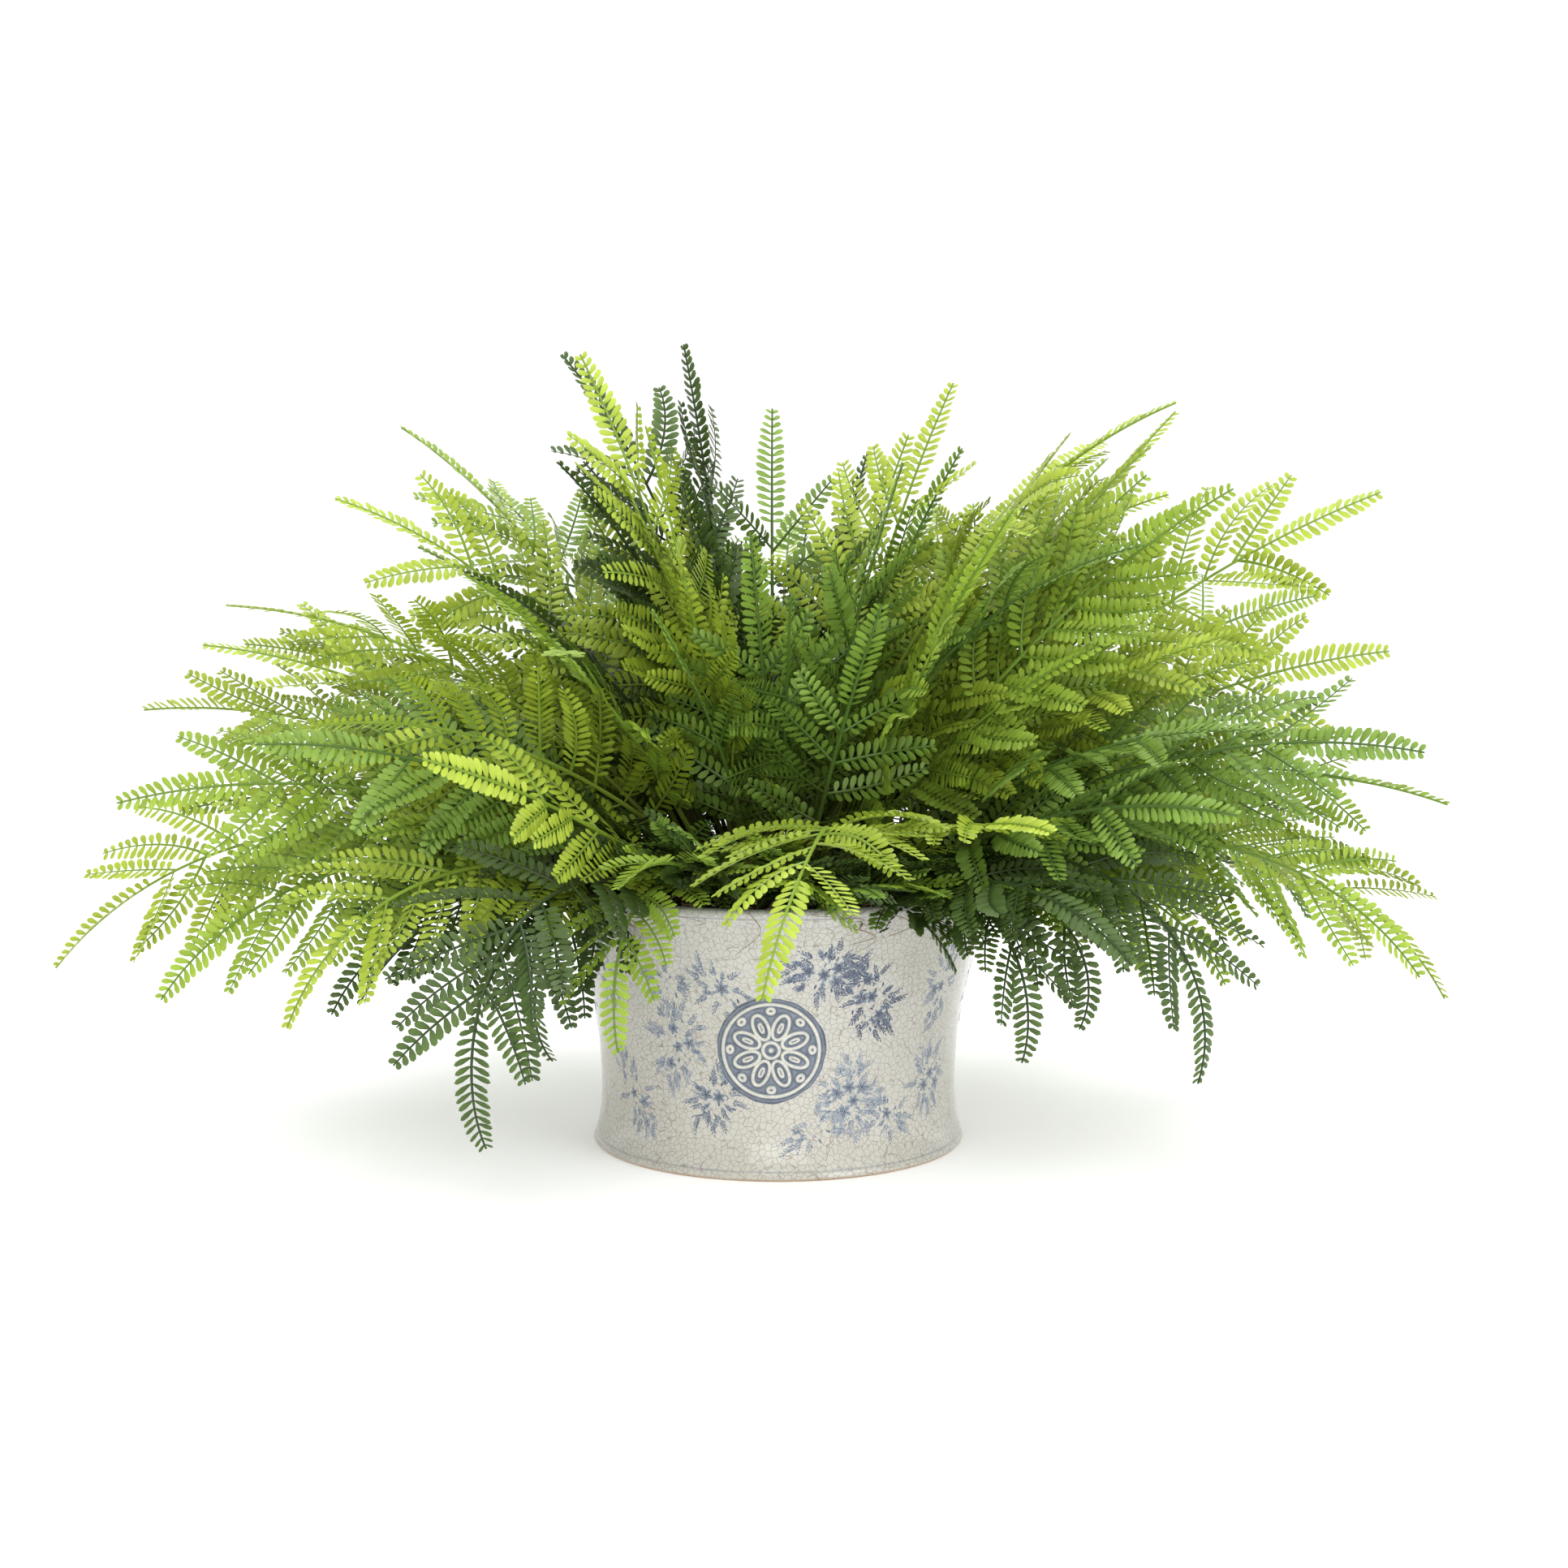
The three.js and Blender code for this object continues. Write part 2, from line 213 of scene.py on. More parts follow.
def grid_faces(rows, columns, wrap=False):
    """Four-cornered faces of a grid of rows by columns of points, whose last column may join the first."""
    across = columns if wrap else columns - 1
    row, column = np.meshgrid(np.arange(rows - 1), np.arange(across), indexing="ij")
    after = (column + 1) % columns
    corners = [row * columns + column, row * columns + after,
               (row + 1) * columns + after, (row + 1) * columns + column]
    return np.stack([part.ravel() for part in corners], axis=1)


def round_faces(rows, sides):
    """Faces of a round body. Its points are rings from one end to the other, then the middle of each end."""
    first, after = np.arange(sides), (np.arange(sides) + 1) % sides
    last, middle = (rows - 1) * sides, rows * sides
    caps = np.concatenate([np.stack([np.full(sides, middle), after, first], axis=1),
                           np.stack([np.full(sides, middle + 1), last + first, last + after], axis=1)])
    return [caps, grid_faces(rows, sides, wrap=True)]


def skin_template(stations, sides):
    """The faces of one closed skin: a point at its foot, rings of points, and a point at its tip, with each
    face corner's place around and along the skin."""
    ring = lambda s, k: 1 + s * sides + k % sides
    last = stations * sides + 1
    level = lambda s: (s + 1) / (stations + 1)
    caps, cap_places, walls, wall_places = [], [], [], []
    for k in range(sides):
        a, b = k / sides, (k + 1) / sides
        caps.append([0, ring(0, k + 1), ring(0, k)])
        cap_places.append([[(a + b) / 2, 0], [b, level(0)], [a, level(0)]])
        caps.append([last, ring(stations - 1, k), ring(stations - 1, k + 1)])
        cap_places.append([[(a + b) / 2, 1], [a, level(stations - 1)], [b, level(stations - 1)]])
        for s in range(stations - 1):
            walls.append([ring(s, k), ring(s, k + 1), ring(s + 1, k + 1), ring(s + 1, k)])
            wall_places.append([[a, level(s)], [b, level(s)], [b, level(s + 1)], [a, level(s + 1)]])
    return np.array(caps), np.array(cap_places), np.array(walls), np.array(wall_places)


class Skins:
    """Gathers many closed skins into the points, faces, colours and map of one mesh."""

    def __init__(self):
        self.points, self.caps, self.walls, self.paints = [], [], [], []
        self.cap_places, self.wall_places, self.cap_cells, self.wall_cells = [], [], [], []
        self.used = self.count = 0

    def add(self, feet, rings, tips, paints):
        """feet and tips hold one point each, rings (skins, stations, sides, 3), and paints four numbers for
        every point of every skin, foot first and tip last."""
        skins, stations, sides = rings.shape[:3]
        caps, cap_places, walls, wall_places = skin_template(stations, sides)
        size = stations * sides + 2
        points = np.concatenate([feet[:, None], rings.reshape(skins, -1, 3), tips[:, None]], axis=1)
        offset = self.used + np.arange(skins)[:, None, None] * size
        self.points.append(points.reshape(-1, 3))
        self.paints.append(paints.reshape(-1, 4))
        self.caps.append((caps + offset).reshape(-1, 3))
        self.walls.append((walls + offset).reshape(-1, 4))
        cells = self.count + np.arange(skins)
        self.cap_places.append(np.tile(cap_places, (skins, 1, 1)))
        self.wall_places.append(np.tile(wall_places, (skins, 1, 1)))
        self.cap_cells.append(np.repeat(cells, len(caps)))
        self.wall_cells.append(np.repeat(cells, len(walls)))
        self.used += skins * size
        self.count += skins

    def piece(self, name, material, sharp_angle=50):
        """The mesh of all the skins. On its map each skin has a square cell of its own."""
        faces = [np.concatenate(self.caps), np.concatenate(self.walls)]
        piece = new_piece(name, np.concatenate(self.points), faces, material, sharp_angle=sharp_angle)
        paint(piece, "growth", np.concatenate(self.paints))
        across = math.ceil(math.sqrt(self.count))
        places = []
        for cells, spots in ((self.cap_cells, self.cap_places), (self.wall_cells, self.wall_places)):
            cell = np.concatenate(cells)
            corner = np.stack([cell % across, cell // across], axis=1)[:, None]
            inside = 0.06 + 0.88 * np.concatenate(spots)
            places.append(((corner + inside) / across).reshape(-1, 2))
        layer = piece.data.uv_layers.new(name="OFBake")
        layer.data.foreach_set("uv", np.concatenate(places).astype(np.float32).ravel())
        return piece


def tube_rings(line, side, up, radii, sides):
    """Rings of points round lines: at each station, a circle of the given radius in the plane of side and up.
    line, side and up are (tubes, stations, 3); radii is (tubes, stations)."""
    turn = 2 * np.pi * np.arange(sides) / sides
    spokes = (side[:, :, None] * np.cos(turn)[:, None] + up[:, :, None] * np.sin(turn)[:, None])
    return line[:, :, None] + radii[:, :, None, None] * spokes


def walk(start, directions, lengths):
    """Lines that start at the given points and take equal steps along the mean of each two neighbouring
    directions: the running sum of the steps."""
    steps = (directions[:, 1:] + directions[:, :-1]) / 2
    steps = steps * (lengths / (directions.shape[1] - 1))[:, None, None]
    return np.concatenate([start[:, None], start[:, None] + np.cumsum(steps, axis=1)], axis=1)


# ---- fronds ----


def stem_of(foot_radius, row, count=48):
    """The line of a frond's stem. Its slope eases from the rise at the foot to the rise at the tip as the
    share of its length to the power BEND, and its heading turns evenly."""
    heading, rise_foot, rise_tip, turn, length, roll = row[:6]
    share = np.linspace(0, 1, count + 1)
    rise = np.radians(rise_foot + (rise_tip - rise_foot) * share**BEND)
    bearing = np.radians(heading + turn * share)
    level = np.cos(rise)
    along = np.stack([level * np.cos(bearing), level * np.sin(bearing), np.sin(rise)], axis=1)
    side = np.stack([-np.sin(bearing), np.cos(bearing), np.zeros_like(share)], axis=1)
    tip = math.radians(roll)
    side = side * math.cos(tip) + np.cross(along, side) * math.sin(tip)
    foot = polar(foot_radius, math.radians(heading))
    start = np.array([*foot, crown_height(foot_radius)])
    place = walk(start[None], along[None], np.array([float(length)]))[0]
    return {"place": place, "along": along, "side": side, "up": np.cross(along, side)}


def between(stations, share):
    """Stations of one line at any shares of its length, each mixed from the two that it lies between."""
    count = len(stations["place"]) - 1
    at = np.clip(share, 0, 1) * count
    low = np.minimum(at.astype(int), count - 1)
    mix = (at - low)[..., None]
    return {key: values[low] * (1 - mix) + values[low + 1] * mix for key, values in stations.items()}


def rolled(up, along, angle):
    """Directions up and across for lines that go along, turned about them by an angle."""
    up = unit(up - np.sum(up * along, axis=-1, keepdims=True) * along)
    left = np.cross(up, along)
    cos, sin = np.cos(angle)[..., None], np.sin(angle)[..., None]
    return up * cos - left * sin, left * cos + up * sin


def leaflets_of(stem, length, chance, terminal):
    """The midribs of a frond's leaflets: opposite pairs, longest past the middle of the frond, that leave the
    stem at a slant, curve forwards and sag by their tips, and a last one that the stem runs out into."""
    leaf_end = 1 - terminal / length
    pairs = max(3, round((leaf_end - BARE_SHARE) * length / PAIR_PITCH))
    rank = np.arange(pairs) / (pairs - 1)
    share = np.repeat(BARE_SHARE + (np.arange(pairs) + 0.5) / pairs * (leaf_end - BARE_SHARE), 2)
    share = share + chance.uniform(-0.12, 0.12, share.shape) * PAIR_PITCH / length
    rank = np.repeat(rank, 2)
    hand = np.tile([1.0, -1.0], pairs)
    full = np.sin(np.pi * (0.25 + 0.55 * rank))
    size = LEAFLET["longest"] * min(1, length / 300) ** 0.6 * (0.6 + 0.4 * full)
    size = size * chance.uniform(0.9, 1.06, share.shape)
    angle = np.radians(LEAFLET["inner_angle"] + (LEAFLET["outer_angle"] - LEAFLET["inner_angle"]) * rank)
    angle = angle + np.radians(chance.uniform(-9, 9, share.shape))
    base = between(stem, share)
    step = np.linspace(0, 1, LEAFLET["stations"])
    curve = chance.uniform(-0.1, 0.62, share.shape)[:, None]
    slant = (angle[:, None] * (1 - curve * step))[..., None]
    cock = chance.uniform(-0.22, 0.38, share.shape)[:, None]
    droop = LEAFLET["sag"] * chance.uniform(0.0, 2.6, share.shape)[:, None]
    along = base["along"][:, None] * np.cos(slant) + (hand[:, None] * base["side"])[:, None] * np.sin(slant)
    along = along + base["up"][:, None] * (cock * (1 - 1.5 * step))[..., None]
    along[..., 2] -= droop * (0.35 + 1.3 * step)
    along = unit(along)
    line = walk(base["place"], along, size)
    tilt = hand * np.radians(chance.uniform(-34, 40, share.shape))
    up, left = rolled(base["up"][:, None], along, tilt[:, None] * (1 + 0 * step))
    last = between(stem, leaf_end + (1 - leaf_end) * step)
    last_tilt = np.full(step.shape, math.radians(chance.uniform(-40, 40)))
    last_up, last_left = rolled(last["up"], last["along"], last_tilt)
    join = lambda many, one: np.concatenate([many, one[None]])
    return {
        "line": join(line, last["place"]), "along": join(along, unit(last["along"])),
        "up": join(up, last_up), "left": join(left, last_left),
        "size": np.append(size, terminal), "share": np.append(share, 1.0),
    }


def segments_of(leaflets, chance, blade):
    """The segments of all the leaflets: closed blades in opposite pairs, narrow at the neck, widest past the
    middle and round at the tip, with a ridge along the back or, on some leaflets, along the belly. Their
    length follows a bulging curve over the leaflet, and they lean forwards more towards its tip."""
    count = len(leaflets["size"])
    pairs = np.maximum(np.round(leaflets["size"] * 0.93 / SEGMENT["pitch"]).astype(int), 4)
    owner = np.repeat(np.arange(count), pairs)
    order = np.arange(len(owner)) - np.repeat(np.cumsum(pairs) - pairs, pairs)
    place = 0.06 + 0.93 * (order + 0.5) / pairs[owner]
    owner, place = np.repeat(owner, 2), np.repeat(place, 2)
    hand = np.tile([1.0, -1.0], len(place) // 2)
    at = place * (LEAFLET["stations"] - 1)
    low = np.minimum(at.astype(int), LEAFLET["stations"] - 2)
    mix = (at - low)[:, None]
    pick = lambda key: leaflets[key][owner, low] * (1 - mix) + leaflets[key][owner, low + 1] * mix
    foot, along, up, left = pick("line"), unit(pick("along")), unit(pick("up")), unit(pick("left"))
    bulge = np.sin(np.pi * (0.13 + 0.78 * place**0.9)) ** 0.72
    scale = (leaflets["size"][owner] / LEAFLET["longest"]) ** 0.4
    length = SEGMENT["length"] * bulge * scale * chance.uniform(0.93, 1.05, place.shape)
    narrow = chance.uniform(0.78, 1.06, count)[owner]
    half = SEGMENT["width"] / 2 * np.minimum(1, 0.42 + 0.62 * bulge) * narrow
    lean = np.radians(SEGMENT["inner_angle"] + (SEGMENT["outer_angle"] - SEGMENT["inner_angle"]) * place)
    lean = lean + np.radians(chance.uniform(-4, 4, place.shape))
    fold = chance.uniform(-0.12, 0.42, count)[owner] + chance.uniform(-0.09, 0.09, place.shape)
    out = along * np.cos(lean)[:, None] + left * (hand * np.sin(lean))[:, None] + up * fold[:, None]
    out = unit(out)
    twist = hand * np.radians(chance.uniform(-4, 22, count)[owner] + chance.uniform(-9, 9, place.shape))
    seg_up, seg_left = rolled(up, out, twist)
    droop = chance.uniform(-0.02, 0.2, count)[owner][:, None]
    hollow = (np.pi * (chance.uniform(0, 1, count) < 0.4))[owner]
    ridge_up, ridge_left = rolled(seg_up, out, hollow)

    def centre(t):
        forward = along * (0.07 * t * t)
        return foot + (out * t + forward - seg_up * droop * t * t) * length[:, None]

    rings = []
    for t, wide, high in blade:
        middle = centre(t)
        edge = ridge_left * (half * wide)[:, None]
        rings.append(np.stack([middle + edge, middle + ridge_up * high, middle - edge], axis=1))
    rings = np.stack(rings, axis=1)
    steps = [t for t, wide, high in blade]
    paints = np.empty((len(place), 3 * len(blade) + 2, 4))
    paints[..., 0] = np.concatenate([[0], np.repeat(steps, 3), [1]])
    paints[..., 1] = chance.uniform(0, 1, count)[owner][:, None]
    paints[..., 2] = leaflets["share"][owner][:, None]
    paints[..., 3] = 0.5 * chance.uniform(0, 1, place.shape)[:, None]
    return centre(0.0), rings, centre(1.0), paints


def add_frond(skins, foot_radius, row, chance, terminal=TERMINAL, blade=FULL_BLADE):
    """One frond: its stem and midribs as tapering tubes, and every segment of every leaflet."""
    length = row[4]
    stem = stem_of(foot_radius, row)
    leaflets = leaflets_of(stem, length, chance, terminal)
    thickness = np.linspace(STEM["foot"], STEM["tip"], len(stem["place"]))[None]
    rings = tube_rings(stem["place"][None], stem["side"][None], stem["up"][None], thickness, 6)
    skins.add(stem["place"][:1], rings, stem["place"][-1:] + 0.5 * stem["along"][-1:],
              stem_paint(rings, np.linspace(0, 1, rings.shape[1])[None], 1.0))
    step = np.linspace(0, 1, LEAFLET["stations"])
    thickness = STEM["midrib_foot"] + (STEM["midrib_tip"] - STEM["midrib_foot"]) * step
    thickness = np.broadcast_to(thickness, leaflets["line"].shape[:2])
    rings = tube_rings(leaflets["line"], 1.5 * leaflets["left"], leaflets["up"] * 0.8, thickness, 4)
    tips = leaflets["line"][:, -1] + 0.4 * leaflets["along"][:, -1]
    share = np.broadcast_to(leaflets["share"][:, None], thickness.shape)
    skins.add(leaflets["line"][:, 0], rings, tips, stem_paint(rings, share, 0.8))
    skins.add(*segments_of(leaflets, chance, blade))


def stem_paint(rings, share, kind):
    """The growth colour of tubes: no place along a segment, the share of the frond, and a kind of its own."""
    tubes, stations, sides = rings.shape[:3]
    paints = np.zeros((tubes, stations * sides + 2, 4))
    body = np.repeat(share, sides, axis=1)
    paints[..., 2] = np.concatenate([body[:, :1], body, body[:, -1:]], axis=1)
    paints[..., 1] = 0.5
    paints[..., 3] = kind
    return paints


# ---- materials ----


def feed(tree, node, inputs):
    """Gives a node its inputs. Each is a value or another node's output."""
    for key, value in inputs.items():
        if isinstance(value, bpy.types.NodeSocket):
            tree.links.new(value, node.inputs[key])
        else:
            node.inputs[key].default_value = value


def place_node(tree, kind, inputs=None, **settings):
    """A node with its settings and inputs."""
    made = tree.nodes.new(kind)
    for key, value in settings.items():
        setattr(made, key, value)
    feed(tree, made, inputs or {})
    return made


def maths(tree, operation, first, second=0.0):
    return place_node(tree, "ShaderNodeMath", {0: first, 1: second}, operation=operation).outputs[0]


def nudged(tree, value, by, amount):
    """The value, plus the amount times how far another is from a half."""
    away = maths(tree, "MULTIPLY", maths(tree, "SUBTRACT", by, 0.5), amount)
    return maths(tree, "ADD", value, away)


def mixed(tree, factor, first, second, blend="MIX"):
    """The mix of two colours by a factor."""
    made = place_node(tree, "ShaderNodeMix", data_type="RGBA", blend_type=blend, clamp_factor=True)
    first, second = [(*colour, 1) if isinstance(colour, tuple) else colour for colour in (first, second)]
    feed(tree, made, {0: factor, 6: first, 7: second})
    return made.outputs[2]


def tinted(tree, colour, red, green, blue):
    """The colour, with each of its channels times a factor of its own."""
    factors = place_node(tree, "ShaderNodeCombineColor", {0: red, 1: green, 2: blue}).outputs[0]
    return mixed(tree, 1.0, colour, factors, "MULTIPLY")


def channels(tree, colour):
    return place_node(tree, "ShaderNodeSeparateColor", {0: colour}).outputs


def stored(tree, name):
    """The numbers that paint stored on a piece: a colour and a fourth number, its alpha."""
    return place_node(tree, "ShaderNodeAttribute", attribute_name=name).outputs


def ranged(tree, value, low, high, to_low=0.0, to_high=1.0, smooth=False):
    kind = "SMOOTHSTEP" if smooth else "LINEAR"
    made = place_node(tree, "ShaderNodeMapRange", {0: value, 1: low, 2: high, 3: to_low, 4: to_high},
                      interpolation_type=kind)
    return made.outputs[0]


def noise(tree, vector, scale, detail=2.0, roughness=0.5):
    values = {"Vector": vector, "Scale": scale, "Detail": detail, "Roughness": roughness}
    return place_node(tree, "ShaderNodeTexNoise", values).outputs["Fac"]


def new_group(name, inputs, outputs):
    """A shader node group with named sockets, and its input and output nodes."""
    tree = bpy.data.node_groups.new(name, "ShaderNodeTree")
    for label, kind in inputs:
        tree.interface.new_socket(name=label, in_out="INPUT", socket_type=kind)
    for label, kind in outputs:
        tree.interface.new_socket(name=label, in_out="OUTPUT", socket_type=kind)
    return tree, tree.nodes.new("NodeGroupInput"), tree.nodes.new("NodeGroupOutput")


def new_material(name, **principled):
    """A material with its Principled shader, whose named sockets take the given values."""
    material = bpy.data.materials.new(name)
    material.use_nodes = True
    tree = material.node_tree
    shader = tree.nodes["Principled BSDF"]
    for key, value in principled.items():
        shader.inputs[key.replace("_", " ").title().replace("Ior", "IOR")].default_value = value
    return material, tree, shader


def object_coordinates(tree):
    return tree.nodes.new("ShaderNodeTexCoord").outputs["Object"]


def raise_surface(tree, shader, height, strength, distance):
    """Fine relief: a bump that the height drives."""
    bump = place_node(tree, "ShaderNodeBump", {"Strength": strength, "Distance": distance, "Height": height})
    feed(tree, shader, {"Normal": bump.outputs["Normal"]})


COLOUR, NUMBER, VECTOR = "NodeSocketColor", "NodeSocketFloat", "NodeSocketVector"


def foliage_group():
    """Frond colouring: shaded towards the frond's foot and the neck of each segment, paler to the segment's
    rounded tip, each leaflet and each segment a little off its neighbours, faintly blotched."""
    tree, into, out = new_group(
        "frond_colouring",
        [("Vector", VECTOR), ("Growth", COLOUR), ("Random", NUMBER), ("Blade", COLOUR), ("Edge", COLOUR),
         ("Shade", COLOUR), ("Stem", COLOUR)],
        [("Colour", COLOUR), ("Roughness", NUMBER), ("Height", NUMBER)])
    along, leaflet, share = channels(tree, into.outputs["Growth"])
    kind = into.outputs["Random"]
    blotch = noise(tree, into.outputs["Vector"], 240, 3)
    broad = noise(tree, into.outputs["Vector"], 22, 2)
    tipward = maths(tree, "ADD", maths(tree, "MULTIPLY", along, 0.75), maths(tree, "MULTIPLY", leaflet, 0.45))
    tipward = nudged(tree, tipward, blotch, 0.9)
    blade = mixed(tree, ranged(tree, tipward, 0.25, 1.25), into.outputs["Blade"], into.outputs["Edge"])
    inner = maths(tree, "ADD", nudged(tree, share, broad, 0.7), maths(tree, "MULTIPLY", leaflet, 0.18))
    blade = mixed(tree, ranged(tree, inner, 0.95, 0.2, 0.0, 0.85), blade, into.outputs["Shade"])
    neck = ranged(tree, along, 0.32, 0.0, 0.0, 0.6)
    blade = mixed(tree, neck, blade, into.outputs["Stem"])
    fleck = ranged(tree, kind, 0.0, 0.5, 0.86, 1.12)
    blade = tinted(tree, blade, fleck, fleck, fleck)
    bark = mixed(tree, ranged(tree, share, 0.0, 0.5, 0.75, 0.0), into.outputs["Stem"], (0.075, 0.040, 0.014))
    bark = mixed(tree, ranged(tree, blotch, 0.35, 0.7, 0.0, 0.35), bark, into.outputs["Shade"])
    is_stem = ranged(tree, kind, 0.6, 0.7)
    feed(tree, out, {"Colour": mixed(tree, is_stem, blade, bark),
                     "Roughness": ranged(tree, blotch, 0.3, 0.75, 0.36, 0.52),
                     "Height": noise(tree, into.outputs["Vector"], 900, 2)})
    return tree


def foliage_material(name, group, colours):
    """Leaf of one tone, with the shared frond colouring."""
    material, tree, shader = new_material(name, specular_ior_level=0.32)
    growth = stored(tree, "growth")
    inputs = {key: (*colour, 1) for key, colour in zip(("Blade", "Edge", "Shade", "Stem"), colours)}
    inputs |= {"Vector": object_coordinates(tree), "Growth": growth["Color"], "Random": growth["Alpha"]}
    colouring = place_node(tree, "ShaderNodeGroup", inputs, node_tree=group).outputs
    feed(tree, shader, {"Base Color": colouring["Colour"], "Roughness": colouring["Roughness"]})
    raise_surface(tree, shader, colouring["Height"], 0.35, 0.0004)
    return material


# ---- the bowl ----

BOWL = {"height": 160.0, "waist_radius": 106.5, "waist_height": 31.0, "flare": 28.6, "flare_power": 2.1,
        "foot_spread": 6.0, "wall": 6.5, "floor": 9.0, "sides": 224}
LIP = {"foot": 154.5, "proud": 1.2, "middle": 156.6, "half_width": 3.5, "half_height": 3.4}
LIP_LINES = [(154.4, 0.85), (159.4, 0.9)]  # the painted lines: [height, half width]
GROOVE = {"height": 5.4, "width": 0.7, "depth": 0.45}
MEDALLION = {"height": 76.0, "radius": 31.5, "line": 1.05, "relief": 0.95, "plate": 0.22, "seat": -2.5,
             "ring": 27.4, "hub": 4.6, "petals": 8}
# its ovals, as many of each as it has petals: [distance from its middle, half length, half width]
PETAL, PETAL_VEIN, OUTER_DOT = (14.6, 7.6, 4.1), (14.2, 2.6, 0.9), (23.4, 1.5, 1.9)
SOIL_TOP = 140.0
MOSS = {"inner": 98, "height": 146, "half_width": 9.5, "half_height": 6.5, "swell": 1.1}
FIBRES = {"bedded": 900, "climbing": 54, "at_front_left": 26}
ANY_PHASE = 6.28  # radians, all round
GOLDEN = {"share": 0.618, "degrees": 137.508, "radians": 2.39996}  # steps that never fall into rows

# Painted sprays: [bearing from the front, height, slant of the spray, its length, its breadth, blossoms, ink]
SPRAYS = [
    [-59, 113, 100, 40, 20, 2, 0.50],
    [-33, 113, 176, 28, 13, 0, 0.55],
    [-15, 110, 140, 44, 18, 1, 0.55],
    [-32, 76, 84, 52, 30, 4, 0.45],
    [-19, 46, 66, 32, 22, 2, 0.60],
    [-51, 42, 122, 54, 20, 2, 0.45],
    [13, 122, 8, 44, 24, 4, 0.80],
    [27, 104, 124, 48, 26, 4, 0.95],
    [23, 46, 92, 42, 32, 5, 0.40],
    [12, 30, 32, 36, 13, 0, 0.42],
    [36, 33, 148, 32, 13, 1, 0.42],
    [55, 108, 84, 58, 20, 3, 0.50],
    [55, 50, 88, 38, 26, 3, 0.42],
    [88, 88, 118, 54, 28, 4, 0.60],
    [97, 38, 70, 44, 22, 2, 0.45],
    [119, 116, 30, 44, 22, 3, 0.70],
    [128, 62, 96, 56, 28, 4, 0.50],
    [152, 108, 140, 50, 24, 3, 0.85],
    [158, 36, 64, 42, 20, 2, 0.45],
    [-152, 112, 60, 52, 26, 4, 0.60],
    [-147, 44, 128, 48, 24, 3, 0.50],
    [-122, 84, 86, 58, 28, 4, 0.45],
    [-104, 124, 10, 38, 20, 2, 0.70],
    [-96, 46, 112, 50, 24, 3, 0.50],
    [-82, 92, 66, 44, 20, 2, 0.55],
]


def bowl_radius(height):
    """The bowl's outer radius: a power curve from the waist up to the mouth, and another down to the foot."""
    low = np.clip(1 - height / BOWL["waist_height"], 0, 1)
    up = np.clip((height - BOWL["waist_height"]) / (BOWL["height"] - BOWL["waist_height"]), 0, 1)
    return BOWL["waist_radius"] + BOWL["foot_spread"] * low**2 + BOWL["flare"] * up ** BOWL["flare_power"]


def on_bowl(bearing, height, lift=0.0):
    """Points on the bowl's outside, from the bearing round it (degrees from the front, to the right), the
    height, and how far they stand proud of the wall."""
    angle = np.radians(bearing - 90)
    radius = bowl_radius(height) + lift
    return np.stack([radius * np.cos(angle), radius * np.sin(angle), height + 0 * angle], axis=-1)


def turned(profile, sides):
    """The points and faces of a round body: each [radius, height] of the profile, whose two ends are on the
    axis, is turned about it."""
    angle = 2 * np.pi * np.arange(sides) / sides
    ring = profile[1:-1]
    body = np.stack([ring[:, :1] * np.cos(angle), ring[:, :1] * np.sin(angle),
                     np.broadcast_to(ring[:, 1:], (len(ring), sides))], axis=-1).reshape(-1, 3)
    ends = np.array([[0, 0, profile[0, 1]], [0, 0, profile[-1, 1]]])
    return np.concatenate([body, ends]), round_faces(len(ring), sides)


def bowl_profile():
    """The bowl's section: the foot's rounded edge, the wall with a fine groove above the foot, a rounded lip,
    and the bore."""
    wall = np.concatenate([np.linspace(2.4, 9, 34), np.linspace(9.8, LIP["foot"], 64)])
    groove = GROOVE["depth"] * np.exp(-((wall - GROOVE["height"]) / GROOVE["width"]) ** 2)
    outside = np.stack([bowl_radius(wall) - groove, wall], axis=1)
    turn = np.radians(np.linspace(0, 90, 7))[1:-1]
    edge = bowl_radius(2.4) - 2.4
    foot = np.stack([edge + 2.4 * np.sin(turn), 2.4 - 2.4 * np.cos(turn)], axis=1)
    across = bowl_radius(LIP["middle"]) + LIP["proud"] - LIP["half_width"]
    turn = np.radians(np.linspace(-28, 208, 22))
    lip = np.stack([across + LIP["half_width"] * np.cos(turn),
                    LIP["middle"] + LIP["half_height"] * np.sin(turn)], axis=1)
    bore = np.linspace(153, BOWL["floor"] + 6, 24)
    inside = np.stack([bowl_radius(bore) - BOWL["wall"], bore], axis=1)
    base = bowl_radius(BOWL["floor"]) - BOWL["wall"] - 6
    start = [[0, 0], [edge * 0.5, 0], [edge - 0.3, 0.0]]
    return np.concatenate([start, foot, outside, lip, inside, [[base, BOWL["floor"]], [0, BOWL["floor"]]]])


def make_bowl():
    points, faces = turned(bowl_profile(), BOWL["sides"])
    return new_piece("glazed_bowl", points, faces, glaze, sharp_angle=60)


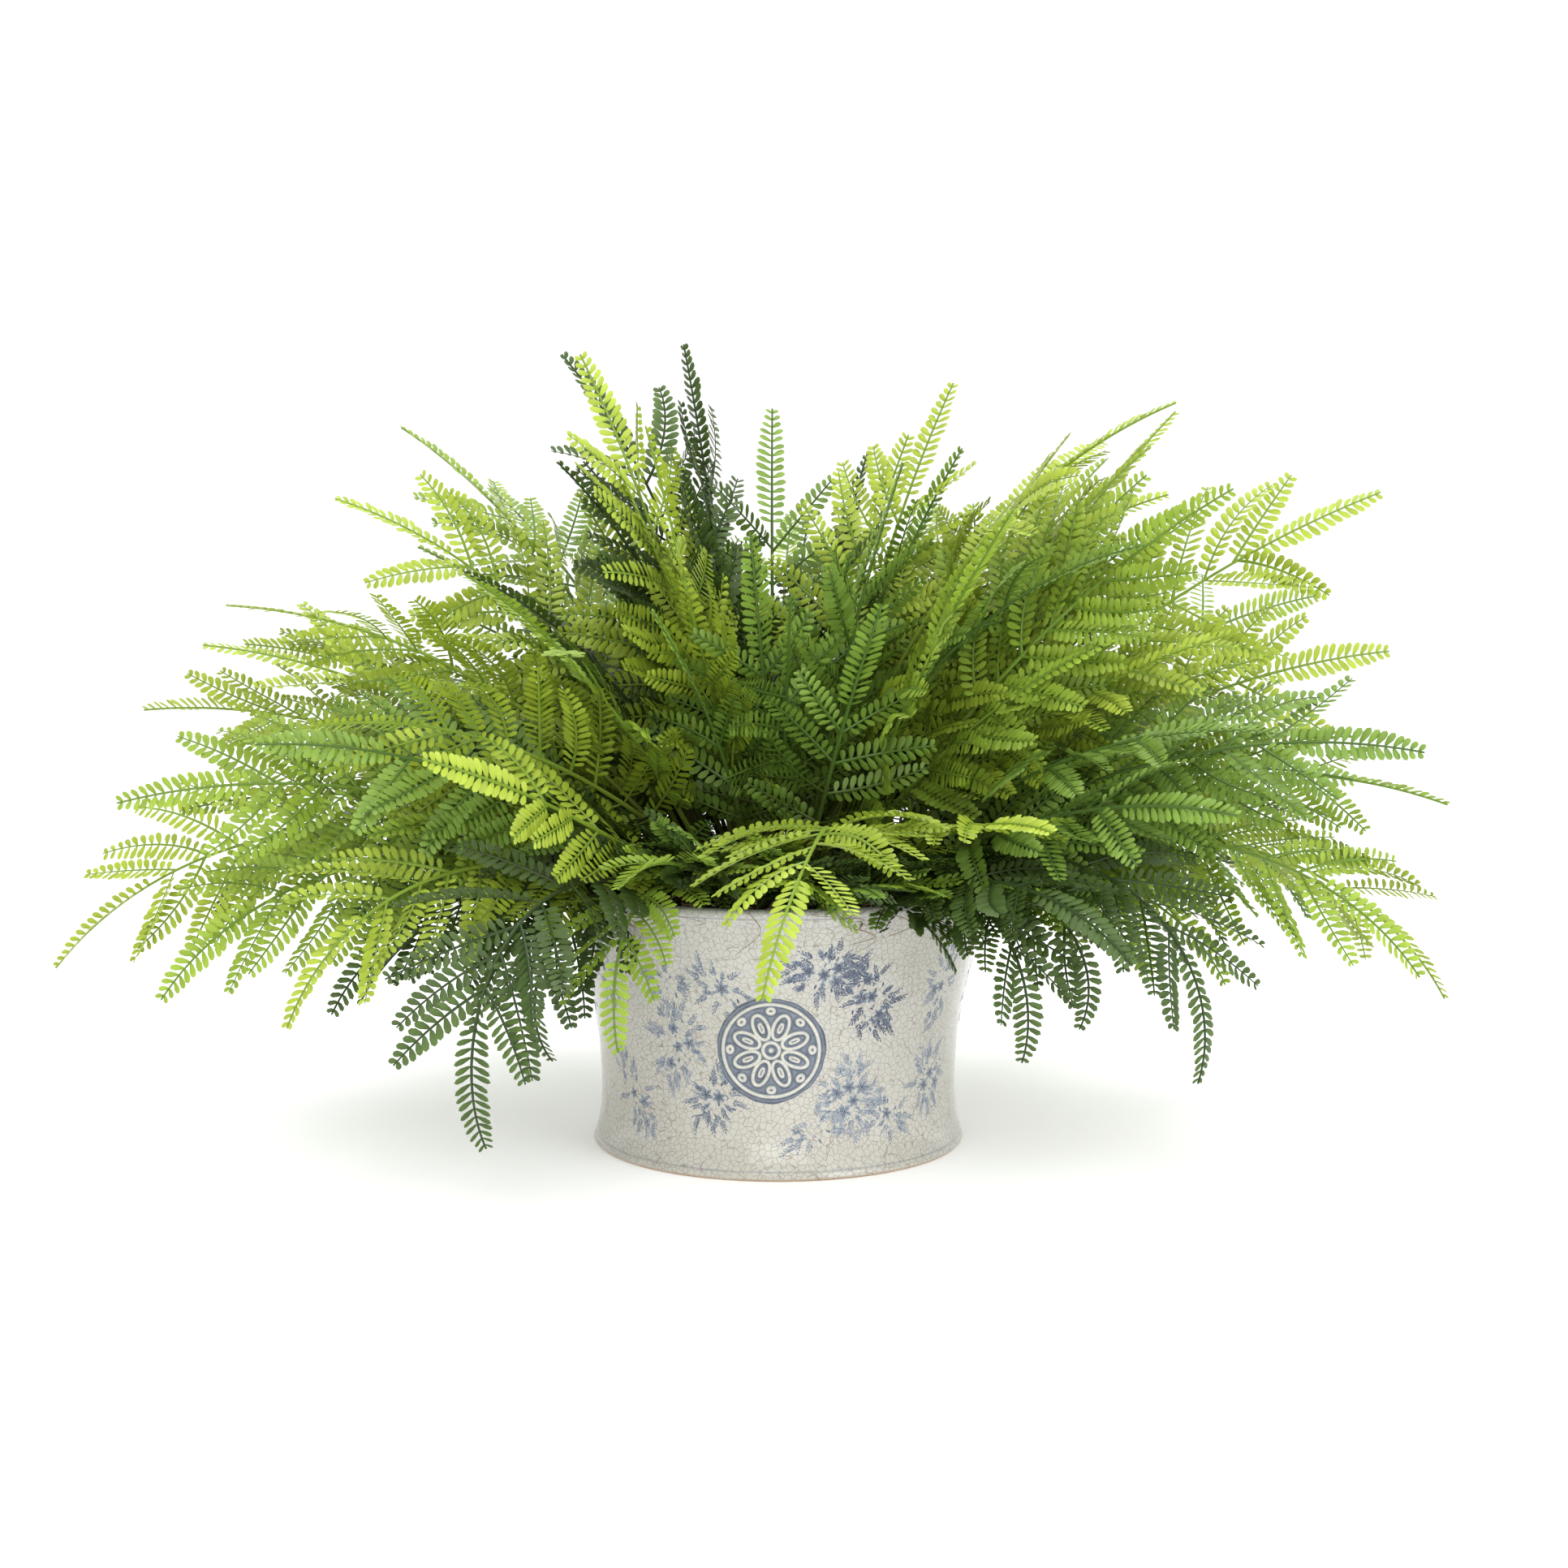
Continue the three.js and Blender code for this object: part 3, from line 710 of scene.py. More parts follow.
def medallion(name, bearing):
    """A raised medallion: a polar patch laid on the wall. Its ovals, a ring, a hub and a boss stand up as
    round trails of slip, where the distance to each is less than the trail's half width."""
    rows, columns = 92, 300
    radius = np.linspace(0, MEDALLION["radius"], rows + 1)[1:]
    turn = 2 * np.pi * np.arange(columns) / columns
    wobble = 0.35 * np.sin(3 * turn + 1) + 0.25 * np.sin(7 * turn) + 0.15 * np.sin(17 * turn + 2)
    radius = radius[:, None] * (1 + wobble / MEDALLION["radius"])
    across, up = radius * np.cos(turn), radius * np.sin(turn)

    def oval(out, long, wide, phase):
        middle = phase + 2 * np.pi * np.arange(MEDALLION["petals"]) / MEDALLION["petals"]
        x, y = across[..., None], up[..., None]
        far = (x * np.cos(middle) + y * np.sin(middle) - out) / long
        near = (y * np.cos(middle) - x * np.sin(middle)) / wide
        reach = np.hypot(far, near)
        slope = np.hypot(far / long, near / wide) / np.maximum(reach, 1e-6)
        return np.min(np.abs(reach - 1) / np.maximum(slope, 1e-6), axis=-1)

    half_step = np.pi / MEDALLION["petals"]
    gaps = [oval(*PETAL, half_step), oval(*PETAL_VEIN, half_step) * 1.3, oval(*OUTER_DOT, 0.0),
            np.abs(radius - MEDALLION["ring"]), np.abs(radius - MEDALLION["hub"]), radius / 1.5]
    distance = np.min(np.stack(gaps), axis=0)
    slip = np.clip(1.15 - (distance / MEDALLION["line"]) ** 2, 0, 1) ** 0.6
    # painted shade: a navy band just outside each raised trail; the border adds a navy outline
    dark = np.clip(1 - np.abs(distance - 1.75) / 0.8, 0, 1)
    border = radius / MEDALLION["radius"]
    dark = np.maximum(dark, np.clip((border - 0.955) / 0.02, 0, 1))
    lift = MEDALLION["plate"] + MEDALLION["relief"] * slip
    lift[-1] = -0.5
    height = MEDALLION["height"] + up
    along = bearing + np.degrees(across / bowl_radius(height))
    body = on_bowl(along, height, lift).reshape(-1, 3)
    under = on_bowl(along[-1], height[-1], MEDALLION["seat"])
    proud = np.array([1.2, MEDALLION["seat"]])
    middle = on_bowl(np.full(2, float(bearing)), np.full(2, MEDALLION["height"]), proud)
    points = np.concatenate([body, under, middle])
    caps, walls = round_faces(rows + 1, columns)
    # its rings run out from the front, so the faces are turned over
    piece = new_piece(name, points, [caps[:, [0, 2, 1]], walls[:, ::-1]], medallion_glaze)
    marks = np.zeros((len(points), 4))
    marks[:len(body), 0] = slip.ravel()
    marks[:len(body), 1] = dark.ravel()
    marks[:, 3] = 1
    marks[-2, 0] = 1
    paint(piece, "slip", marks)
    return piece


class Strokes:
    """Brush strokes on the bowl: each a leaf-shaped mark from a foot, along a slant, of a length and a
    breadth, bending as it goes, with an amount of ink. Places are across and up from the spray's middle."""

    def __init__(self):
        self.rows = []

    def add(self, foot, slant, length, breadth, ink, bend=0.0, lift=0.0):
        fields = np.broadcast_arrays(foot[..., 0], foot[..., 1], slant, length, breadth, ink, bend, lift)
        self.rows.append(np.stack(fields, axis=-1).reshape(-1, 8))

    def skins(self, spray_bearing, spray_height, chance):
        """The strokes as closed, low ridges whose edges are sunk in the glaze, wrapped round the bowl."""
        x, y, slant, length, breadth, ink, bend, lift = np.concatenate(self.rows).T
        stations = [(0.18, 0.62), (0.52, 1.0), (0.84, 0.62)]  # share of its length, share of its breadth
        edge, ridge, end = -0.03, 0.12, -0.05  # how proud of the glaze each part stands
        round_here = bowl_radius(spray_height)

        def at(t, aside=0.0, proud=0.0):
            angle = slant + bend * t
            across = x + length * t * np.cos(angle) - aside * np.sin(angle)
            up = y + length * t * np.sin(angle) + aside * np.cos(angle)
            height = np.clip(spray_height + up, 8, 152)
            return on_bowl(spray_bearing + np.degrees(across / round_here), height, proud + lift)

        rings = []
        for t, wide in stations:
            half = breadth * wide / 2
            rings.append(np.stack([at(t, half, edge), at(t, 0, ridge), at(t, -half, edge)], axis=1))
        rings = np.stack(rings, axis=1)
        steps = np.concatenate([[0], np.repeat([t for t, wide in stations], 3), [1]])
        paints = np.ones((len(x), len(steps), 4))
        paints[..., 0] = ink[:, None] * (0.9 + 0.1 * steps)
        paints[..., 1] = chance.uniform(0, 1, len(x))[:, None]
        return at(0.0, 0, end), rings, at(1.0, 0, end), paints


def polar(radius, angle):
    return np.stack([radius * np.cos(angle), radius * np.sin(angle)], axis=-1)


def add_sprig(strokes, foot, slant, length, ink, chance):
    """A fine sprig: a bending stalk with small leaves in pairs and one at its end."""
    bend = chance.uniform(-0.5, 0.5)
    strokes.add(foot, slant, length, 0.6, ink * 1.2, bend)
    pairs = max(4, int(length / 1.8))
    t = np.repeat(0.16 + 0.8 * np.arange(pairs) / pairs, 2)
    hand = np.tile([1, -1], pairs)
    here = slant + bend * t
    small = (3.3 - 1.4 * t) * chance.uniform(0.85, 1.15, t.shape)
    strokes.add(foot + polar(length * t, here), here + hand * chance.uniform(0.7, 1.05, t.shape), small,
                small * 0.42, ink * chance.uniform(0.9, 1.7, t.shape), -0.3 * hand)
    strokes.add(foot + polar(length * 0.94, slant + bend * 0.94), slant + bend, 2.4, 1.0, ink * 1.1)


def add_blossom(strokes, middle, size, ink, chance):
    """A blossom: five or six pale petals, each with a fine dark edge on both sides, and a dark heart."""
    petals = int(chance.integers(5, 7))
    turn = chance.uniform(0, ANY_PHASE) + 2 * np.pi * np.arange(petals) / petals
    feet = middle + polar(0.1 * size, turn)
    strokes.add(feet, turn, size, size * 0.95, ink * 0.45)
    for aside in (0.62, -0.62):
        strokes.add(feet, turn + aside, size * 0.95, 0.85, ink + 0.65, -1.1 * aside, 0.07)
    strokes.add(feet, turn, size * 0.55, 0.7, ink + 0.45, 0, 0.07)
    strokes.add(middle - polar(0.8, turn[:3]), turn[:3], 1.6, 1.1, ink + 0.9, 0, 0.1)


def spots_in(chance, count, inner, outer):
    """Places in a ring of the unit disc, stepped round by the golden angle so that none crowd together."""
    reach = np.sqrt(np.linspace(inner**2, outer**2, count)) * chance.uniform(0.94, 1.06, count)
    first = chance.uniform(0, ANY_PHASE)
    turn = GOLDEN["radians"] * np.arange(count) + first + chance.uniform(-0.25, 0.25, count)
    return polar(reach, turn)


def make_sprays():
    """Underglaze bouquets. Each fills an oval laid along its slant: blossoms within, and leaves, fine sprigs
    and loose small leaves that point outwards from its middle."""
    chance = np.random.default_rng(77)
    skins = Skins()
    for bearing, height, slant, length, breadth, blossoms, ink in SPRAYS:
        strokes = Strokes()
        axis = math.radians(slant)
        frame_2d = np.stack([polar(length * 0.6, axis), polar(breadth * 0.6, axis + math.pi / 2)])

        def spread(count, inner, outer):
            places = spots_in(chance, count, inner, outer) @ frame_2d
            return places, np.arctan2(places[:, 1], places[:, 0]) + chance.uniform(-0.5, 0.5, count)

        loose, lean = spread(11 + 8 * blossoms, 0.0, 0.78)
        size = chance.uniform(2.2, 4.0, len(loose))
        strokes.add(loose, lean + chance.uniform(-1.2, 1.2, len(loose)), size, size * 0.45,
                    ink * chance.uniform(0.5, 2.2, len(loose)))
        leaves, lean = spread(4 + blossoms, 0.25, 0.62)
        size = chance.uniform(6.5, 9.0, len(leaves))
        strokes.add(leaves, lean, size, size * 0.46, ink * chance.uniform(0.65, 1.0, len(leaves)))
        strokes.add(leaves, lean, size * 0.92, 0.8, ink + 0.55, 0, 0.07)
        for hand in (1, -1):
            for share in (0.3, 0.55):
                vein = leaves + polar(size * share, lean)
                strokes.add(vein, lean + 0.7 * hand, size * 0.24, 0.65, ink + 0.5, 0, 0.08)
        sprigs, lean = spread(9 + 4 * blossoms, 0.3, 0.78)
        for foot, way in zip(sprigs, lean):
            add_sprig(strokes, foot, way, chance.uniform(7.0, 11.5), ink, chance)
        for way in (0, math.pi):
            foot = polar(0.27 * length, axis + way)
            add_sprig(strokes, foot, axis + way + chance.uniform(-0.3, 0.3), 0.24 * length, ink, chance)
        for middle in spread(blossoms, 0.1, 0.5)[0]:
            add_blossom(strokes, middle, chance.uniform(3.6, 4.8), ink, chance)
        skins.add(*strokes.skins(bearing, height, chance))
    return skins.piece("bowl_sprays", ink_glaze, sharp_angle=80)


# ---- what fills the bowl ----


def lumps(points, size, chance):
    """A rough height over points: sines of random direction and phase, each octave half as long and high."""
    octaves, waves = 4, 5
    total = np.zeros(points.shape[:-1])
    for octave in range(octaves):
        for _ in range(waves):
            direction = unit(chance.normal(size=3))
            wave = 2 * np.pi / size * 2**octave
            total += np.sin(points @ direction * wave + chance.uniform(0, ANY_PHASE)) / 2**octave
    return total / 4


def soil_height(radius):
    return SOIL_TOP + 0 * radius


def crown_height(radius):
    """A low dome: highest in the middle, and lower by the square of the distance from it."""
    return CROWN_BASE + CROWN_RISE * (1 - (radius / CROWN_RADIUS) ** 2)


def rough_disc(name, radius, height, lump, roughness, material, seed, bottom):
    """A round body with a rough top: rings of points whose height is a function of radius plus lumps."""
    rings, sides = 60, 200
    share = np.linspace(0, 1, rings + 1)[1:]
    angle = 2 * np.pi * np.arange(sides) / sides
    across, up = share[:, None] * radius * np.cos(angle), share[:, None] * radius * np.sin(angle)
    flat = np.stack([across, up, 0 * up], axis=-1)
    top = height(share * radius)[:, None] + roughness * lumps(flat, lump, np.random.default_rng(seed))
    top[-1] = np.minimum(top[-1], height(radius) - 0.5)
    body = np.stack([across, up, top], axis=-1)[::-1]
    edge = body[:1].copy()
    edge[..., 2] = bottom
    ends = [[0, 0, bottom], [0, 0, float(height(0.0))]]
    points = np.concatenate([edge.reshape(-1, 3), body.reshape(-1, 3), ends])
    return new_piece(name, points, round_faces(rings + 1, sides), material, sharp_angle=70)


def make_moss_bed():
    """The moss between the crown and the wall: a lumpy ring whose section is a low arch."""
    chance = np.random.default_rng(5)
    around, section = 260, 18
    angle = 2 * np.pi * np.arange(around) / around
    turn = 2 * np.pi * np.arange(section) / section
    middle = (MOSS["inner"] + bowl_radius(SOIL_TOP + 1) - BOWL["wall"]) / 2
    across = middle + MOSS["half_width"] * np.cos(turn)
    up = MOSS["height"] + MOSS["half_height"] * np.sin(turn)
    body = np.stack([across[None] * np.cos(angle)[:, None], across[None] * np.sin(angle)[:, None],
                     np.broadcast_to(up, (around, section))], axis=-1)
    swell = MOSS["swell"] * lumps(body, 14, chance)
    body[..., 2] += np.clip(swell, -2.2, 2.2) * np.clip(np.sin(turn), 0, 1)
    points = body.reshape(-1, 3)
    faces = grid_faces(around + 1, section, wrap=True)[:, ::-1] % (around * section)
    return new_piece("moss_bed", points, [faces], moss, sharp_angle=80)


def fibre_skins(skins, line, thick, chance):
    """Thin tubes along lines of points, whose frames come from the steps between the points."""
    along = unit(np.gradient(line, axis=1))
    up, left = rolled(np.array([0.02, 0.03, 1.0]), along, np.zeros(along.shape[:2]))
    rings = tube_rings(line, left, up, thick, 3)
    paints = np.ones((len(line), line.shape[1] * 3 + 2, 4))
    paints[..., 0] = chance.uniform(0, 1, len(line))[:, None]
    skins.add(line[:, 0], rings, line[:, -1] + 0.3 * along[:, -1], paints)


def make_fibres():
    """Curly fibres tangled over the moss: each is a line whose heading and slope wander by sines of random
    phase. A few more climb over the lip and hang down the wall, swinging from side to side."""
    chance = np.random.default_rng(11)
    skins = Skins()
    count, stations = FIBRES["bedded"], 13
    step = np.linspace(0, 1, stations)
    angle = chance.uniform(0, 2 * np.pi, count)
    radius = chance.uniform(90, 121, count)
    start = np.column_stack([polar(radius, angle), chance.uniform(149, 157, count)])
    phase = chance.uniform(0, ANY_PHASE, (2, count, 1))
    bearing = angle[:, None] + chance.uniform(-2.6, 2.6, (count, 1))
    swing = chance.uniform(0.8, 3.2, (count, 1))
    bearing = bearing + swing * np.sin(step * chance.uniform(2, 7, (count, 1)) + phase[0])
    slope = 0.75 * np.sin(step * chance.uniform(3, 8, (count, 1)) + phase[1]) + 0.12 - 0.35 * step
    level = np.cos(slope)
    along = np.stack([level * np.cos(bearing), level * np.sin(bearing), np.sin(slope)], axis=-1)
    line = walk(start, along, chance.uniform(18, 52, count))
    line[..., 2] = np.maximum(line[..., 2], 148)
    reach = np.hypot(line[..., 0], line[..., 1])
    lip = bowl_radius(160.0) - 7
    line[..., 2] = np.where(reach > lip, np.maximum(line[..., 2], 161.5), line[..., 2])
    fibre_skins(skins, line, chance.uniform(0.2, 0.46, count)[:, None] * (1 - 0.5 * step), chance)

    count, stations, left = FIBRES["climbing"], 26, FIBRES["at_front_left"]
    step = np.linspace(0, 1, stations)
    bearing = np.concatenate([chance.uniform(-64, -36, left), chance.uniform(-180, 180, count - left)])
    bearing = bearing[:, None]
    fall = chance.uniform(8, 30, count)[:, None]
    over = np.clip(step / 0.3, 0, 1)
    down = np.clip((step - 0.3) / 0.7, 0, 1)
    height = 156 + 6 * np.sin(np.pi * 0.5 * over) - fall * down**1.3
    curl, waves, phase = [chance.uniform(low, high, (2, count, 1)) for low, high in
                          ((1, 6), (5, 14), (0, ANY_PHASE))]
    curl = curl * np.sin(step * waves + phase)
    out = -13 + 15 * over + 1.5 * down + np.abs(curl[0]) * 0.5 * down
    rim = bowl_radius(158.0)
    radius = rim + np.where(height < 158, bowl_radius(height) - rim, 0) * down + out
    turn = np.radians(bearing - 90 + (curl[1] + 3 * down * curl[0]) * 0.45)
    line = np.stack([radius * np.cos(turn), radius * np.sin(turn), height], axis=-1)
    fibre_skins(skins, line, chance.uniform(0.18, 0.34, count)[:, None] * (1 - 0.4 * step), chance)
    return skins.piece("moss_fibres", fibre)


# ---- more materials ----


def crackle_group():
    """A crackle glaze: a net of hairlines where the cells of a shattered pattern meet, finer in places,
    stained unevenly, and a tint that differs from patch to patch."""
    tree, into, out = new_group(
        "crackle_glaze",
        [("Vector", VECTOR), ("Glaze", COLOUR), ("Hairline", COLOUR), ("Strength", NUMBER)],
        [("Colour", COLOUR), ("Roughness", NUMBER), ("Height", NUMBER)])
    vector = into.outputs["Vector"]
    wander = place_node(tree, "ShaderNodeTexNoise", {"Vector": vector, "Scale": 90.0, "Detail": 2.0})

    def vectors(operation, inputs):
        return place_node(tree, "ShaderNodeVectorMath", inputs, operation=operation).outputs[0]

    shift = vectors("ADD", {0: wander.outputs["Color"], 1: (-0.5, -0.5, -0.5)})
    shifted = vectors("ADD", {0: vector, 1: vectors("SCALE", {0: shift, "Scale": 0.0016})})

    def net(scale, width):
        cells = place_node(tree, "ShaderNodeTexVoronoi", {"Vector": shifted, "Scale": scale},
                           feature="DISTANCE_TO_EDGE")
        return ranged(tree, cells.outputs["Distance"], 0.0, width, 1.0, 0.0, smooth=True)

    wide, fine = net(275.0, 0.07), net(520.0, 0.07)
    patch = ranged(tree, noise(tree, vector, 38.0, 2), 0.45, 0.62)
    fine = maths(tree, "MULTIPLY", fine, maths(tree, "MULTIPLY", patch, 0.6))
    lines = maths(tree, "MAXIMUM", wide, fine)
    stain = ranged(tree, noise(tree, vector, 20.0, 3), 0.3, 0.68, 0.6, 1.0)
    inked = maths(tree, "MULTIPLY", maths(tree, "MULTIPLY", lines, stain), into.outputs["Strength"])
    tint = ranged(tree, noise(tree, vector, 11.0, 3), 0.3, 0.7, 0.93, 1.04)
    clear = tinted(tree, into.outputs["Glaze"], tint, tint, ranged(tree, tint, 0.93, 1.04, 0.9, 1.05))
    sway = maths(tree, "MULTIPLY", noise(tree, vector, 26.0, 2), 1.6)
    feed(tree, out, {"Colour": mixed(tree, inked, clear, into.outputs["Hairline"]),
                     "Roughness": ranged(tree, inked, 0.0, 1.0, 0.11, 0.34),
                     "Height": maths(tree, "SUBTRACT", sway, lines)})
    return tree


def glazed(name, group, colour_of, hairline=(0.215, 0.18, 0.135), strength=0.95):
    """A glossy crackled material. colour_of works out the colour under the glaze, and returns that colour and
    the share of the surface that is bare clay, if any."""
    material, tree, shader = new_material(name, coat_weight=0.35, coat_roughness=0.06)
    vector = object_coordinates(tree)
    colour, bare = colour_of(tree, vector)
    inputs = {"Vector": vector, "Glaze": colour, "Hairline": (*hairline, 1), "Strength": strength}
    crackled = place_node(tree, "ShaderNodeGroup", inputs, node_tree=group).outputs
    surface, rough = crackled["Colour"], crackled["Roughness"]
    if bare:
        clay = mixed(tree, noise(tree, vector, 300.0, 3), (0.30, 0.19, 0.10), (0.46, 0.33, 0.20))
        surface = mixed(tree, bare, surface, clay)
        rough = place_node(tree, "ShaderNodeMix", {0: bare, 2: rough, 3: 0.85}).outputs[0]
    feed(tree, shader, {"Base Color": surface, "Roughness": rough})
    raise_surface(tree, shader, crackled["Height"], 0.16, 0.0006)
    return material


def bowl_colours(tree, vector):
    """Cream glaze, two grey-blue lines round the lip, one above the foot, and bare brown clay at the base."""
    height = place_node(tree, "ShaderNodeSeparateXYZ", {0: vector}).outputs[2]

    def band(at, half):
        away = maths(tree, "ABSOLUTE", maths(tree, "SUBTRACT", height, at * MM))
        return ranged(tree, away, 0.0, half * MM, 1.0, 0.0, smooth=True)

    lines = maths(tree, "MAXIMUM", maths(tree, "MAXIMUM", *[band(at, half) for at, half in LIP_LINES]),
                  maths(tree, "MULTIPLY", band(GROOVE["height"], 0.9), 0.75))
    broken = ranged(tree, noise(tree, vector, 60.0, 3), 0.3, 0.6, 0.35, 0.85)
    cream = mixed(tree, ranged(tree, height, 0.03, 0.15), (0.515, 0.498, 0.452), (0.482, 0.478, 0.448))
    lined = mixed(tree, maths(tree, "MULTIPLY", lines, broken), cream, (0.235, 0.265, 0.300))
    bare = maths(tree, "MULTIPLY", ranged(tree, height, 0.0022, 0.0006),
                 ranged(tree, noise(tree, vector, 80.0, 3), 0.25, 0.5, 0.5, 1.0))
    return lined, bare


def ink_colours(tree, vector):
    """Slate-blue wash under the glaze, navy where the brush left more ink, and no bare clay."""
    ink, stroke = channels(tree, stored(tree, "growth")["Color"])[:2]
    navy_depth = nudged(tree, nudged(tree, ink, noise(tree, vector, 300.0, 3), 0.5), stroke, 0.22)
    wash = mixed(tree, ranged(tree, navy_depth, 0.1, 0.65), (0.42, 0.45, 0.465), (0.165, 0.205, 0.265))
    return mixed(tree, ranged(tree, navy_depth, 0.6, 1.2), wash, (0.030, 0.045, 0.095)), None


def medallion_colours(tree, vector):
    """Cream trails of slip on a cloudy slate-blue ground, with navy painted shade along the foot of the
    trails, a navy outline at the border, and no bare clay."""
    slip, dark = channels(tree, stored(tree, "slip")["Color"])[:2]
    cloud = noise(tree, vector, 130.0, 4, 0.6)
    ground = mixed(tree, ranged(tree, cloud, 0.3, 0.7), (0.098, 0.128, 0.182), (0.195, 0.228, 0.280))
    # painted shade at the foot of the raised trails, with the navy outline at the border, broken up by noise
    navy_depth = maths(tree, "MULTIPLY", dark, ranged(tree, noise(tree, vector, 220.0, 2), 0.3, 0.62, 0.4, 1.0))
    ground = mixed(tree, navy_depth, ground, (0.034, 0.050, 0.092))
    cream = mixed(tree, ranged(tree, noise(tree, vector, 180.0, 3), 0.35, 0.75), (0.62, 0.60, 0.52),
                  (0.50, 0.51, 0.49))
    return mixed(tree, ranged(tree, slip, 0.25, 0.75), ground, cream), None


def earthy(name, dark, light, scale, distance, attribute=None):
    """A dull, crumbly or fibrous material: two colours mixed by noise and, where the piece stores a number
    for each fibre, by that too."""
    material, tree, shader = new_material(name, specular_ior_level=0.2)
    vector = object_coordinates(tree)
    grain = noise(tree, vector, scale, 5, 0.65)
    blend = ranged(tree, grain, 0.3, 0.7)
    if attribute:
        own = channels(tree, stored(tree, attribute)["Color"])[0]
        blend = maths(tree, "ADD", maths(tree, "MULTIPLY", blend, 0.35), maths(tree, "MULTIPLY", own, 0.65))
    patch = ranged(tree, noise(tree, vector, 30.0, 2), 0.35, 0.7, 0.0, 0.5)
    colour = mixed(tree, patch, mixed(tree, blend, dark, light), dark)
    feed(tree, shader, {"Base Color": colour, "Roughness": ranged(tree, grain, 0.3, 0.7, 0.78, 0.98)})
    raise_surface(tree, shader, grain, 0.8, distance)
    return material


# ---- the object ----

foliage = foliage_group()
leaf = [foliage_material(f"frond_{tone}", foliage, colours) for tone, colours in zip(TONES, TONE_COLOURS)]
crackle = crackle_group()
glaze = glazed("cream_crackle_glaze", crackle, bowl_colours)
ink_glaze = glazed("underglaze_ink", crackle, ink_colours, (0.20, 0.20, 0.21), 0.35)
medallion_glaze = glazed("medallion_slip", crackle, medallion_colours, (0.22, 0.21, 0.20), 0.4)
earth = earthy("potting_earth", (0.020, 0.013, 0.008), (0.085, 0.055, 0.032), 420.0, 0.002)
root = earthy("crown_fibre", (0.035, 0.022, 0.011), (0.130, 0.085, 0.045), 260.0, 0.002)
moss = earthy("dry_moss", (0.060, 0.058, 0.026), (0.210, 0.170, 0.095), 330.0, 0.003)
fibre = earthy("moss_fibre", (0.090, 0.058, 0.034), (0.420, 0.315, 0.215), 500.0, 0.0004, "growth")


def place(piece, slot, *nodes):
    """Puts a piece on the body, in the place of the CAD nodes that it replaces, if any. Its slot is not used.
    """
    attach(piece, BODY)
    if nodes:
        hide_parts(*nodes)


def make_fronds():
    for tier, rows in FRONDS.items():
        for index, row in enumerate(rows, 1):
            node = f"frond_{tier}_{index:02d}"
            skins = Skins()
            chance = np.random.default_rng(1000 + 37 * index + len(tier))
            add_frond(skins, FOOT_RADIUS[tier], row, chance)
            place(skins.piece(f"leafy_{node}", leaf[row[6]]), f"frond_{TONES[row[6]]}", node)


def companion_rows():
    """Between the fronds stand others, each beside one of them, shorter and turned another way: one on each
    side, or one alone at the low left, and none by the front fronds of the middle tiers or by a frond that
    turns sharply. Those that hang, and the low ones at the left, are never of the lightest tone; at the low
    left that darker tone is painted shade on that side."""
    chance = np.random.default_rng(21)
    for tier, rows in FRONDS.items():
        for row in rows:
            heading, rise_foot, rise_tip, turn, length, roll, tone = row
            if abs(turn) > 30 or (tier in ("upper", "spreading") and 206 < heading < 318):
                continue
            low_left = tier in ("spreading", "hanging") and 165 < heading < 218
            for side in (1,) if low_left else (1, -1):
                shift = side * chance.uniform(4, 11)
                lower = chance.uniform(-10, 5)
                turn_here = turn + side * chance.uniform(0, 12)
                length_here = length * chance.uniform(0.64, 0.92) * (0.8 if tier == "hanging" else 1)
                roll_here = roll + side * chance.uniform(8, 48)
                tone_here = int(chance.choice([tone, 0, 1, 2, 3], p=[0.3, 0.25, 0.2, 0.15, 0.1]))
                if tier == "hanging" and tone_here == 0:
                    tone_here = 3
                # painted shade: the low fronds at the left never take the lightest tone, so that side reads
                # darker
                if low_left:
                    tone_here = max(tone_here, 1)
                yield FOOT_RADIUS[tier] - 9, [heading + shift, rise_foot + lower, rise_tip + lower,
                                              turn_here, length_here, roll_here, tone_here]


def inner_rows():
    """Short young fronds fill the middle. Their headings step round by the golden angle, the steeper ones
    stand nearer the middle, and the low ones at the front are the shortest and mostly dark. A low dark fan
    closes the front of the crown, and a few longer ones fill out the upper right."""
    chance = np.random.default_rng(22)
    for k in range(92):
        depth = (k * GOLDEN["share"]) % 1
        heading = (k * GOLDEN["degrees"]) % 360
        front = 200 < heading < 335 and depth < 0.62
        rise = 14 + 64 * depth
        length = chance.uniform(96, 132) if front else chance.uniform(130, 215)
        rise_foot, rise_tip = rise + chance.uniform(-5, 8), rise - chance.uniform(10, 46)
        turn, roll = chance.uniform(-14, 14), chance.uniform(-40, 40)
        tone = int(chance.choice([2, 3, 3, 1]) if front else chance.integers(0, 4))
        yield 88 - 62 * depth, [heading, rise_foot, rise_tip, turn, length, roll, tone]
    for heading in range(222, 312, 9):
        yield 66, [heading, 34, 6, 4, 104, chance.uniform(-25, 25), 3]
    for k, heading in enumerate((352, 4, 14, 24, 34)):
        yield 40, [heading, 66 - 4 * (k % 2), 40, 5, 318 - 12 * (k % 3), chance.uniform(20, 60), k % 2]


def make_fillers(name, rows):
    """The filler fronds of one tone are one piece."""
    gathered = [Skins() for _ in TONES]
    for index, (foot_radius, row) in enumerate(rows):
        terminal = min(TERMINAL, row[4] * 0.3)
        chance = np.random.default_rng(5000 + index)
        add_frond(gathered[row[6]], foot_radius, row, chance, terminal, PLAIN_BLADE)
    for tone, skins in enumerate(gathered):
        place(skins.piece(f"{name}_{TONES[tone]}", leaf[tone]), f"frond_{TONES[tone]}")


